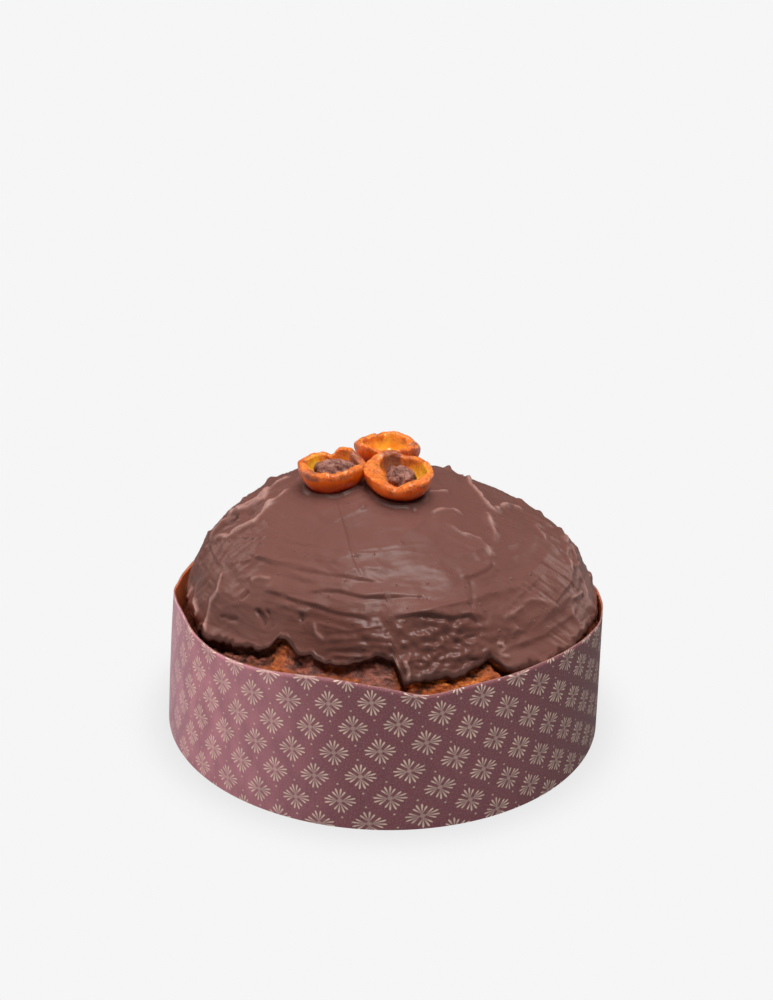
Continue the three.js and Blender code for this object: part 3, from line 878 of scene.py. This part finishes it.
# Lines left by the spatula: rise, width, and the spots they run through as azimuth and height.
RIDGES = [
    (1.8, 1.8, [(-86, 93), (-74.2, 102.2), (-70.5, 109), (-78.5, 117), (-88, 119.8)]),
    (1.8, 1.8, [(-94.5, 100.5), (-86, 108.4), (-84.2, 113.6), (-98.5, 115.1)]),
    (1.4, 1.5, [(-86.2, 91.5), (-89.8, 97.7), (-90.2, 103.8)]),
    (1.2, 2.2, [(-118, 117.7), (-105, 115.7), (-88, 112.1), (-93, 99.7)]),
    (1.5, 1.5, [(-63.5, 93.8), (-59.5, 86.4), (-61, 81), (-58.5, 70.4), (-55.8, 68.5)]),
    (1.5, 1.5, [(-75.5, 79), (-72, 74.3), (-66, 71.9), (-67.5, 67.1)]),
    (1.2, 1.6, [(-81, 74.8), (-80, 66.9), (-72, 66.9)]),
    (0.8, 1.1, [(-47.8, 95.4), (-44, 98.7), (-39.8, 99.3)]),
    (0.9, 1.1, [(-36, 92.5), (-29.5, 92.6), (-25.5, 93), (-22.5, 92.8)]),
    (0.9, 1.1, [(-21, 90.1), (-20.2, 86.2), (-17.5, 83.7)]),
    (2.2, 1.4, [(132, 112.9), (104.5, 115.8), (88.8, 114.3), (80, 111.2)]),
    (1.6, 1.3, [(84, 112.4), (101.8, 106.8), (102.8, 102.6)]),
    (1.4, 1.3, [(78, 113.9), (65.5, 110.6), (57.2, 107.7)]),
    (1.0, 1.0, [(45.8, 117.1), (49.5, 113.9), (54, 111.1), (51.2, 107.1), (48.5, 104.8)]),
    (0.8, 0.9, [(43.5, 108.9), (43.8, 107.1), (42.5, 105.4)]),
    (1.0, 1.1, [(69.5, 122.9), (86.8, 120)]),
    (1.0, 1.1, [(44.5, 119.7), (62.5, 118.6), (62.8, 116.1)]),
    (1.2, 1.2, [(91.2, 102.4), (82.5, 98.5), (81.5, 94)]),
    (1.6, 1.2, [(95.8, 93.1), (83.2, 86), (80, 79.1), (75.5, 76.2)]),
    (1.4, 1.2, [(103.2, 92.9), (82, 91.5), (75.2, 87)]),
    (1.2, 1.1, [(77, 79.6), (65.5, 82), (62, 77.2), (61.8, 70.6)]),
    (0.8, 0.9, [(40, 84.8), (38, 83.9), (36, 82.5)]),
    (0.6, 1.4, [(45, 90.8), (51, 89.4), (56, 86.4), (57, 82.3)]),
    (0.6, 1.4, [(35, 88.3), (40, 89.4), (46, 89.7)]),
    (1.5, 1.1, [(30, 79.7), (32, 79.7), (32, 77.6), (30, 76.5), (32, 74.5), (32, 73.7)]),
    (1.5, 0.9, [(2.3, 80), (2.3, 74.9), (2.6, 69)]),
    (1.7, 0.9, [(4.4, 79.6), (4.6, 74.9), (4.6, 69)]),
]
GROOVES = [
    (1.6, 1.5, [(-85, 106.1), (-86, 100.5), (-84, 90.6)]),
    (0.8, 1.1, [(-48, 88.4), (-46.5, 93)]),
    (0.8, 1.1, [(-54.8, 77.8), (-48, 79.3), (-45.8, 80.7)]),
    (2.4, 1.0, [(-41, 88.6), (-36.8, 83.6)]),
    (2.0, 1.0, [(-38.2, 89.1), (-34.2, 84)]),
    (0.9, 1.5, [(-26, 92.4), (-25, 88.7)]),
    (0.8, 1.3, [(33.5, 102.4), (30.8, 99.5), (29.2, 96.5), (27, 93)]),
]
# Ledges: rise, reach and spots. Each stands up on the left of its line and runs out over its reach,
# with a low roll pushed up before it, given by its distance, width and share of the rise.
LEDGES = [
    (0.8, 9, [(-5, 103.7), (-8.2, 107.4), (-12.2, 112.5), (-19.2, 118.3), (-35.8, 123)]),
    (0.8, 7, [(-59.8, 102), (-42.8, 104.2), (-31.8, 105.2), (-21.5, 105.5), (-9.5, 105.3), (3.7, 104.7)]),
    (1.3, 6, [(-25.5, 98.7), (-19, 100.6), (-13.5, 101.3), (-9.2, 100.5), (-5.2, 99.4), (4.5, 100.3),
              (15.8, 99.7)]),
    (1.4, 8, [(-42, 95.4), (-29.8, 95.7), (-17.2, 95.1), (-11.2, 94.4), (-7, 93.6), (-2.2, 92.2)]),
    (2.2, 5, [(-1, 91.6), (1.2, 92.9), (4.5, 94), (9.8, 94.5), (15, 94.1), (20.8, 92.5), (26.5, 91.9),
              (29.2, 88)]),
    (1.0, 4, [(30.2, 103.2), (34.2, 103), (38.8, 103.4), (43.5, 103.8), (48.2, 104.4)]),
    (0.5, 3, [(-18.2, 86.9), (-7.3, 89.5), (2, 88.9)]),
    (0.5, 3, [(-17.2, 84.4), (-5.8, 86.7), (3.7, 86.1)]),
    (0.5, 3, [(-19, 80.9), (-7.3, 83.7), (4.2, 84.7)]),
]
LEDGE_FALL = 0.8
LEDGE_END = 2.5
LEDGE_FOOT_SHADE = 0.25
ROLL_AWAY = 3.4
ROLL_WIDTH = 1.8
ROLL_SHARE = 0.35
CREST_SOFT = 0.4
TINTED_WIDTH = 0.8
FULLY_TINTED = 1.5
# Nubs and pits: azimuth, height, rise and width.
NUBS = [
    (-6, 122.5, 0.9, 1.6), (36, 121.1, -0.8, 1.4), (-98, 112.1, -2.2, 2.6), (-80, 109.1, -2.0, 3.0),
    (141, 112.2, 3.0, 2.2), (-121, 108.5, 2.0, 3.0), (115, 100.6, 1.2, 2.5), (114, 93.8, 1.2, 2.5),
    (101, 92.7, -1.5, 2.0), (104, 90, 1.5, 2.5), (94, 71.6, 1.5, 3.5), (-99, 86.2, 1.0, 3.0),
    (75, 71.1, 2.0, 5.0), (100, 113.7, -1.0, 2.2), (25, 77.4, 0.8, 3.0), (13, 99.0, -0.7, 1.0),
    (15.5, 98.3, -0.6, 1.0),
]

crest_highlights = np.zeros(len(points))
crease_shades = np.zeros(len(points))
patchy = np.clip(0.95 + 1.0 * lumps(points, 7, 47), 0.4, 1.5)
for rise, width, spots in RIDGES:
    distance, _, fade = beside_line(spots, loose)
    ridge = np.exp(CREST_SOFT - np.sqrt((distance / width) ** 2 + CREST_SOFT**2))
    raised += rise * patchy * fade * ridge
    # A painted highlight along the ridge's crest.
    crest_highlights += rise * patchy * fade * bell(distance, TINTED_WIDTH * width)
for depth, width, spots in GROOVES:
    distance, _, fade = beside_line(spots, loose)
    raised -= depth * patchy * fade * bell(distance, width)
    # Painted shade in the groove.
    crease_shades += depth * fade * bell(distance, TINTED_WIDTH * width)
nearly_straight = wandering(points, 16, 1.2, 41)
even = np.clip(1 + 0.7 * lumps(points, 14, 48), 0.6, 1.4)
for rise, reach, spots in LEDGES:
    distance, side, fade = beside_line(spots, nearly_straight)
    slope = bell(side, np.where(side > 0, reach, LEDGE_FALL))
    slope += ROLL_SHARE * bell(side + ROLL_AWAY, ROLL_WIDTH)
    raised += rise * even * fade * slope * blend(LEDGE_END * reach, reach, distance)
    # Painted shade at the ledge's foot.
    foot = bell(side + LEDGE_FALL, LEDGE_FALL) * (distance < reach)
    crease_shades += LEDGE_FOOT_SHADE * rise * even * fade * foot
for spot_at, spot_height, rise, width in NUBS:
    distance = np.linalg.norm(points - on_coat(spot_at, spot_height), axis=1)
    raised += rise * bell(distance, width)

# The apricots press into the coat, and the chocolate stands up in a low ridge round each.
# Each has the middle of its rim, its radius and depth, and its lean forward and to the left.
APRICOTS = {
    "apricot_left": (-26.6, -8.2, 133.6, 15.3, 12.0, -2, -4),
    "apricot_right": (5.2, -14.3, 133.8, 16.2, 11.6, 4, 4),
    "apricot_back": (-0.4, 22.5, 134.2, 16.0, 12.0, -10, 2),
}
SKIN_ROUND = 0.72
SEAT_REACH = 5.0
SEAT_GAP = 0.15
SEAT_NEAR = 1.5
moved = points + normals * raised[:, None]
for x, y, middle, radius, depth, lean_front, lean_left in APRICOTS.values():
    across = moved[:, 0] - x
    back = moved[:, 1] - y
    reach = np.hypot(across, back) / radius
    under = reach < 1.0
    tilt = math.sin(math.radians(lean_front)) * back - math.sin(math.radians(lean_left)) * across
    skin_depth = depth * np.sqrt(np.clip(1 - reach ** (2 / SKIN_ROUND), 0, 1))
    gap = middle + tilt - skin_depth - moved[:, 2]
    fill = np.where(gap > 0, gap * (1 - blend(0, SEAT_REACH, gap)), gap) - SEAT_GAP * blend(SEAT_NEAR, 0, gap)
    raised += np.where(under, fill, 0)

# At its edge the coat turns in round a lip, and its inside runs back under it to the top.
EDGE_LUMPS = 1.2
LIP_FROM = 0.97
LIP_CALMER = 0.5
LIP_GAP = 3 * FIT
EDGE_SHADE_FROM = 0.972
EDGE_SHADE_RAGGED = 0.014
thickness = np.zeros(len(row))
thickness[dome] = raised
edge_lump = EDGE_LUMPS * lumps(around(azimuth, EDGE_CIRCLE, 0.0), 8, 33)
lip = blend(LIP_FROM, 1.0, share)
thickness = thickness * (1 - LIP_CALMER * lip) + lip * edge_lump
thickness = np.maximum(FIT + COAT + thickness, FIT + COAT_THINNEST)
thickness = np.where(on_lip, LIP_GAP + (thickness - LIP_GAP) * np.sin(round_lip), thickness)
thickness = np.where(inside, FIT + (LIP_GAP - FIT) * share, thickness)
move_to(coat, skin + normal * thickness[:, None])
shares = {
    # The wet zones are shinier, and painted shade darkens their colour.
    "wet_and_shaded": 0.7 * rippled + dragged + 0.6 * zone(*SUNKEN),
    # Painted highlights along the ridge crests.
    "crest": crest_highlights / FULLY_TINTED,
    # Painted shade in the grooves and at the feet of the ledges.
    "crease_shade": crease_shades / FULLY_TINTED,
}
for name, on_dome in shares.items():
    everywhere = np.zeros(len(row))
    everywhere[dome] = np.clip(on_dome, 0, 1)
    store(coat, name, everywhere)
# Painted shade on a ragged band of the coat along its edge.
store(coat, "edge", np.where(outside, blend(EDGE_SHADE_FROM, 1.0, share + EDGE_SHADE_RAGGED * lumps(skin, 3, 34)), 1))
close_up(coat)

CHOCOLATE = rgb(99, 63, 56)
CHOCOLATE_PALER = rgb(112, 74, 66)
SHADED_WET_CHOCOLATE = rgb(86, 51, 44)
CREST_HIGHLIGHT = rgb(176, 134, 124)
CREASE_SHADE_DARK = rgb(52, 29, 24)
EDGE_SHADE_DARK = rgb(50, 27, 22)
DULL = 0.28
POLISHED = 0.17
COAT_RELIEF = 0.16

chocolate, tree, shader = new_material(
    "spread_chocolate", Specular_IOR_Level=0.3, Specular_Tint=(1.0, 0.92, 0.9, 1.0))
place = object_place(tree)
wet_and_shaded, edge, crest, crease_shade = (share_of(tree, name) for name in ("wet_and_shaded", "edge", "crest", "crease_shade"))
clouds = grain(place, 35, 3)
fine = grain(place, 420, 3, 0.6)
strokes = grain(stretched(place, 0.2, 0.2, 1.4), 500, 3)
# Painted shade darkens the wet zones, the creases and the edge, and painted highlights pale the crests.
feed(shader, Base_Color=tinted(
    mix(clouds, CHOCOLATE, CHOCOLATE_PALER), (wet_and_shaded, 0, 1, 0.55, SHADED_WET_CHOCOLATE),
    (crest, 0, 1, 0.65, CREST_HIGHLIGHT), (crease_shade, 0, 1, 0.6, CREASE_SHADE_DARK), (edge, 0, 1, 0.75, EDGE_SHADE_DARK)))
polish = calc("ADD", ramp(wet_and_shaded, 0, 1, DULL, POLISHED), ramp(edge, 0, 1, 0, 0.5))
feed(shader, Roughness=calc("MULTIPLY_ADD", fine, 0.14, polish))
bubbles = ramp(grain(place, 300, 1), 0.7, 0.8)
surface = calc("MULTIPLY_ADD", fine, 0.4, strokes)
surface = calc("MULTIPLY_ADD", bubbles, 2.0, surface)
relief(shader, surface, COAT_RELIEF)
coat.data.materials.append(chocolate)
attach(coat, "root")
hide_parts("chocolate_coat")

# Apricot halves
# Three candied apricot halves, stoned and soaked in syrup, set hollow side up on the warm
# chocolate. The flesh is thick, wet and see-through, its torn lips are wrinkled, and some
# chocolate has smeared on them.

APRICOT_COLUMNS = 144
APRICOT_CUTS = [4, 11]
SKIN_SHARE = 0.5
LIP_SHARE = 0.72
LIP_ROUND = 2.3
FLESH_THICK = 3.5
LIP_SHARE_OF_FLESH = 0.45
HOLLOW_DEPTH = 0.7
HOLLOW_ROUND = 0.8
CALM_POLE = 4
# Unevenness, as depth and size: dents and fine wrinkles of the skin, then the torn rim and lip.
DENTS = (0.6, 7)
FINE_WRINKLES = (0.08, 2.2)
RIM_TEARS = (0.9, 6)
FINE_RIM_TEARS = (0.5, 2.6)
UNEVEN_FLESH = (0.8, 4)
LIP_FOLDS = (0.9, 3.5)
FINE_LIP_FOLDS = (0.7, 1.6)
# Round each half, as (azimuth, change, width): its outline, the height of its rim, the thickness of
# its flesh, how far the cut face slopes into the hollow, where chocolate is smeared, and where the
# flesh is painted a glowing yellow, as if light shone through it.
OUTLINES = {
    "apricot_left": [(-95, 0.8, 16), (85, 1.0, 25), (178, -0.8, 8)],
    "apricot_right": [(-100, 0.6, 30), (170, -1.5, 25)],
    "apricot_back": [(90, 0.4, 30), (-90, 0.6, 30), (180, -2.5, 50)],
}
RIMS = {
    "apricot_left": [(150, 4.4, 26), (-178, -2.0, 9), (-150, 1.6, 30), (-95, 1.4, 18), (-20, -0.4, 35),
                     (60, 0.8, 25)],
    "apricot_right": [(-5, -2.8, 24), (75, 0.2, 30), (-110, 0.4, 30), (-160, 3.2, 30), (135, 1.9, 32)],
    "apricot_back": [(165, 2.2, 36), (0, -1.4, 45), (-95, -2.0, 30), (95, -2.2, 30)],
}
FLESH = {
    "apricot_left": [(-60, 1.2, 35), (0, 0.8, 30), (150, -0.4, 40)],
    "apricot_right": [(-74, 8.6, 42), (0, 1.4, 25), (48, 2.4, 28)],
    "apricot_back": [(0, -1.4, 45), (100, 1.5, 30)],
}
DIPS = {
    "apricot_left": [(-40, 0.6, 30)],
    "apricot_right": [(-74, 5.4, 42), (48, 1.2, 30)],
    "apricot_back": [(100, 1.0, 30)],
}
FRUIT_SMEARS = {
    "apricot_left": [(120, 0.9, 22), (80, 0.5, 20), (-40, 0.75, 26)],
    "apricot_right": [(-165, 1.1, 26), (-120, 0.3, 20), (60, 0.3, 30)],
    "apricot_back": [(20, 0.45, 40), (95, 0.6, 25)],
}
PAINTED_GLOWS = {
    "apricot_left": [(-130, 1.0, 30)],
    "apricot_right": [(105, 0.9, 35)],
    "apricot_back": [(180, 0.5, 50)],
}

SKIN_ORANGE = rgb(246, 118, 14)
SKIN_DEEP = rgb(182, 44, 0)
FLESH_ORANGE = rgb(246, 138, 48)
GLOW_YELLOW = rgb(255, 206, 60)
MOTTLE_RED = rgb(208, 74, 6)
STREAK_RED = rgb(204, 78, 4)
LIP_BROWN = rgb(206, 124, 72)
LIP_GLINT = rgb(255, 196, 120)
FLECK_BROWN = rgb(156, 76, 34)
STAIN_BROWN = rgb(158, 80, 44)
SMEAR_BROWN = rgb(150, 92, 74)
FRUIT_RELIEF = 0.65

fruit, tree, shader = new_material(
    "candied_apricot", Subsurface_Weight=0.75, Subsurface_Scale=0.005, Subsurface_Radius=(1.0, 0.4, 0.1),
    IOR=1.42, Coat_Weight=0.6, Coat_Roughness=0.06)
place = object_place(tree)
cut, smear, glow, low, lip = (share_of(tree, name) for name in ("cut", "smear", "glow", "low", "lip"))
lip = calc("MULTIPLY", lip, ramp(glow, 0, 1, 1.0, 0.3))
mottle = grain(place, 170, 3)
threads = grain(place, 850, 2)
streaks = grain(stretched(place, 1, 1, 0.25), 520, 3)
stains = grain(place, 240, 3, 0.5)
# Painted light: the cut flesh turns yellow where it glows, as if lit through.
colour = mix(cut, mix(low, SKIN_ORANGE, SKIN_DEEP), mix(glow, FLESH_ORANGE, GLOW_YELLOW))
colour = tinted(
    colour, (mottle, 0.42, 0.7, 0.35, MOTTLE_RED), (streaks, 0.48, 0.7, 0.35, STREAK_RED),
    (lip, 0, 1, 0.45, LIP_BROWN))
for pattern, tint in (
    (ramp(threads, 0.56, 0.76, 0, 0.6), LIP_GLINT),
    (ramp(threads, 0.48, 0.28, 0, 0.5), FLECK_BROWN),
    (ramp(stains, 0.42, 0.75, 0, 0.7), STAIN_BROWN),
):
    colour = mix(calc("MULTIPLY", pattern, lip), colour, tint)
patches = calc("MULTIPLY_ADD", grain(place, 260, 3), 0.9, -0.45)
smeared = ramp(calc("ADD", smear, patches), 0.35, 0.75, 0, 0.85)
feed(shader, Base_Color=mix(smeared, colour, SMEAR_BROWN))
feed(shader, Roughness=calc("MULTIPLY_ADD", threads, 0.2, 0.12))
uneven = calc("SUBTRACT", calc("ADD", threads, stains), 1.0)
creased = calc("MULTIPLY", uneven, ramp(lip, 0, 1, 0.15, 1.0))
relief(shader, creased, FRUIT_RELIEF)


def leaned(points, degrees, along, up):
    """Points turned by an angle in the plane of two axes, given by their numbers."""
    turn = math.radians(degrees)
    turned = points.copy()
    turned[:, along] = points[:, along] * math.cos(turn) + points[:, up] * math.sin(turn)
    turned[:, up] = points[:, up] * math.cos(turn) - points[:, along] * math.sin(turn)
    return turned


for name, (x, y, middle, radius, depth, lean_front, lean_left) in APRICOTS.items():
    half, azimuth, along = open_tube(name + "_candied", APRICOT_COLUMNS, APRICOT_CUTS)
    outline = radius + bumps(OUTLINES[name], azimuth)
    circle = around(azimuth, radius, 0.0)
    rim = bumps(RIMS[name], azimuth) + unevenness(circle, RIM_TEARS, x + 3)
    rim += unevenness(circle, FINE_RIM_TEARS, x + 4)
    flesh = FLESH_THICK + bumps(FLESH[name], azimuth) + unevenness(circle, UNEVEN_FLESH, y + 3)
    dip = bumps(DIPS[name], azimuth)
    on_skin = np.clip(along / SKIN_SHARE, 0, 1)
    on_lip = np.clip((along - SKIN_SHARE) / (LIP_SHARE - SKIN_SHARE), 0, 1)
    in_hollow = np.clip((along - LIP_SHARE) / (1 - LIP_SHARE), 0, 1)
    out = outline * np.sin(on_skin * math.pi / 2) ** SKIN_ROUND
    up = -depth * np.cos(on_skin * math.pi / 2) + rim * on_skin**3
    over = on_lip * math.pi
    crown = np.minimum(LIP_SHARE_OF_FLESH * flesh, LIP_ROUND)
    out = np.where(along > SKIN_SHARE, outline - flesh / 2 + flesh / 2 * np.cos(over), out)
    up = np.where(along > SKIN_SHARE, rim + crown * np.sin(over) - dip * on_lip, up)
    hollow = in_hollow * math.pi / 2
    out = np.where(along > LIP_SHARE, (outline - flesh) * np.cos(hollow) ** HOLLOW_ROUND, out)
    sunk = (rim - dip) * (1 - in_hollow) ** 2 - HOLLOW_DEPTH * depth * np.sin(hollow)
    up = np.where(along > LIP_SHARE, sunk, up)
    points = around(azimuth, out, up)
    wrinkle = unevenness(points, DENTS, x, (1, 1, 0.6)) + unevenness(points, FINE_WRINKLES, y)
    lip_fold = unevenness(points, LIP_FOLDS, x + 1) + unevenness(points, FINE_LIP_FOLDS, y + 1)
    outward = points / np.maximum(np.linalg.norm(points, axis=1), 1)[:, None]
    points += outward * (wrinkle * np.minimum(1, out / CALM_POLE))[:, None]
    points[:, 2] += on_lip * (1 - in_hollow) * lip_fold
    points = leaned(leaned(points, lean_left, 0, 2), -lean_front, 1, 2)
    move_to(half, points + [x, y, middle])
    near_lip = blend(0.72, 0.95, on_skin) * blend(1.0, 0.35, in_hollow)
    smear_in_hollow = 0.6 * blend(0.5, 0.9, in_hollow)
    shares = {
        "cut": blend(0.05, 0.5, on_lip),
        "smear": np.clip(bumps(FRUIT_SMEARS[name], azimuth), 0, 1) * near_lip + smear_in_hollow,
        "glow": np.clip(bumps(PAINTED_GLOWS[name], azimuth), 0, 1) * blend(0.5, 1.0, on_lip),
        "low": blend(0.95, 0.45, on_skin),
        "lip": blend(0.86, 1.0, on_skin) * blend(0.35, 0.0, in_hollow),
    }
    for key, share in shares.items():
        store(half, key, share)
    close_up(half)
    half.data.materials.append(fruit)
    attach(half, "root")
    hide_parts(name)

# Chocolate dabs
# A spoonful of dull chocolate paste pressed into each stone hollow, rounded and wrinkled
# by the spoon, with syrup round its foot.

DAB_DETAIL = 5
# The middle of each dab and its half size.
DABS = {
    "dab_left": ((-24.4, -8.0, 131.0), (10.2, 8.8, 5.4)),
    "dab_right": ((5.8, -13.2, 130.2), (7.4, 7.4, 5.6)),
    "dab_back": ((-0.4, 17.0, 127.4), (6.4, 5.2, 3.2)),
}

DAB_WRINKLES = (0.2, 0.6)
DAB_FINE_WRINKLES = (0.14, 0.24)
PASTE_DARK = rgb(78, 38, 30)
PASTE_PALE = rgb(176, 124, 110)
SYRUP_BROWN = rgb(190, 110, 70)
PASTE_RELIEF = 1.5

paste, tree, shader = new_material("chocolate_paste")
place = object_place(tree)
mottle = grain(place, 220, 3, 0.6)
threads = grain(place, 900, 3)
colour = mix(ramp(mottle, 0.3, 0.7), PASTE_DARK, PASTE_PALE)
feed(shader, Base_Color=tinted(colour, (threads, 0.55, 0.75, 0.4, SYRUP_BROWN)))
feed(shader, Roughness=ramp(threads, 0.3, 0.7, 0.15, 0.4))
relief(shader, calc("ADD", threads, mottle), PASTE_RELIEF)

for name, (middle, half_size) in DABS.items():
    bpy.ops.object.select_all(action="DESELECT")
    bpy.ops.mesh.primitive_ico_sphere_add(subdivisions=DAB_DETAIL, radius=1)
    dab = bpy.context.object
    dab.name = name + "_paste"
    dab.data.name = dab.name
    ball = places(dab)
    wrinkle = unevenness(ball, DAB_WRINKLES, middle[0])
    wrinkle += unevenness(ball, DAB_FINE_WRINKLES, middle[1], (1, 1, 0.5))
    move_to(dab, np.array(middle) + ball * (1 + wrinkle)[:, None] * np.array(half_size))
    close_up(dab)
    dab.data.materials.append(paste)
    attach(dab, "root")
    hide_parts(name)

# Studio
# A pale floor that stays even in the picture, a large soft light overhead, a key light from
# the left, low strips behind for the edges, and a camera at the photograph's height and angle.

FLOOR_SIZE = 16
FLOOR_SHADE = 0.92
FLOOR_BOUNCE = 0.18
CONTACT_REACH = 0.03
CONTACT_SHADE = 0.86
CONTACT_FROM = 0.45
FILL = 0.035

bpy.ops.object.select_all(action="DESELECT")
bpy.ops.mesh.primitive_plane_add(size=FLOOR_SIZE)
floor = bpy.context.object
floor.name = "studio_floor"
bounce = (FLOOR_BOUNCE, FLOOR_BOUNCE, FLOOR_BOUNCE, 1)
pale, tree, shader = new_material("studio_floor", Base_Color=bounce, Roughness=0.9)
shade = add_node(tree, "ShaderNodeAmbientOcclusion", None, CONTACT_REACH).outputs["AO"]
shade = ramp(shade, CONTACT_FROM, 1.0, CONTACT_SHADE * FLOOR_SHADE, FLOOR_SHADE)
glow = add_node(tree, "ShaderNodeEmission", None, shade)
seen = add_node(tree, "ShaderNodeLightPath").outputs["Is Camera Ray"]
both = add_node(tree, "ShaderNodeMixShader", seen, shader.outputs[0], glow.outputs[0])
tree.links.new(both.outputs[0], tree.nodes["Material Output"].inputs[0])
floor.data.materials.append(pale)

world = bpy.data.worlds.new("studio")
world.use_nodes = True
tree = world.node_tree
seen = add_node(tree, "ShaderNodeLightPath").outputs["Is Camera Ray"]
tree.links.new(ramp(seen, 0, 1, FILL, FLOOR_SHADE), tree.nodes["Background"].inputs["Strength"])
tree.nodes["Background"].inputs["Color"].default_value = (1, 1, 1, 1)
bpy.context.scene.world = world

LIGHT_AIM = (0, 0, 0.08)
WARM = (1.0, 0.84, 0.78)


def soft_light(name, place, size, watts, mirrored=True, tint=(1, 1, 1)):
    """A round soft box turned to the cake. It is seen in glossy surfaces only where it is mirrored."""
    lamp = bpy.data.lights.new(name, "AREA")
    lamp.shape = "DISK"
    lamp.size = size
    lamp.energy = watts
    lamp.color = tint
    lamp_object = bpy.data.objects.new(name, lamp)
    lamp_object.location = place
    lamp_object.rotation_euler = (Vector(LIGHT_AIM) - Vector(place)).to_track_quat("-Z", "Y").to_euler()
    lamp_object.visible_glossy = mirrored
    bpy.context.scene.collection.objects.link(lamp_object)


soft_light("overhead", (0.15, 0.1, 2.4), 2.4, 66, mirrored=False)
soft_light("overhead_front", (0.25, -0.45, 1.9), 1.0, 19)
soft_light("key_left", (-1.8, -0.2, 0.6), 0.9, 11, mirrored=False)
soft_light("strip_back_left", (-1.5, 1.0, 0.75), 0.9, 4.2, tint=WARM)
soft_light("strip_back_right", (1.6, 1.2, 0.6), 0.9, 5.2, tint=WARM)
soft_light("front_low", (-0.3, -1.8, 0.4), 1.0, 4.5, mirrored=False)

PHOTO_HEIGHT = 1000
FOCAL_PIXELS = 1517
SENSOR_HEIGHT = 36
CAMERA_PLACE = (-0.00046, -0.670, 0.4016)
CAMERA_DOWN = 23.27
CAMERA_ROLL = 1.3

camera = bpy.data.cameras.new("camera")
camera.sensor_fit = "VERTICAL"
camera.sensor_height = SENSOR_HEIGHT
camera.lens = FOCAL_PIXELS * camera.sensor_height / PHOTO_HEIGHT
camera_object = bpy.data.objects.new("camera", camera)
camera_object.location = CAMERA_PLACE
camera_object.rotation_mode = "ZYX"
camera_object.rotation_euler = (math.radians(90 - CAMERA_DOWN), 0, math.radians(CAMERA_ROLL))
bpy.context.scene.collection.objects.link(camera_object)
bpy.context.scene.camera = camera_object
bpy.context.scene.view_settings.view_transform = "Standard"
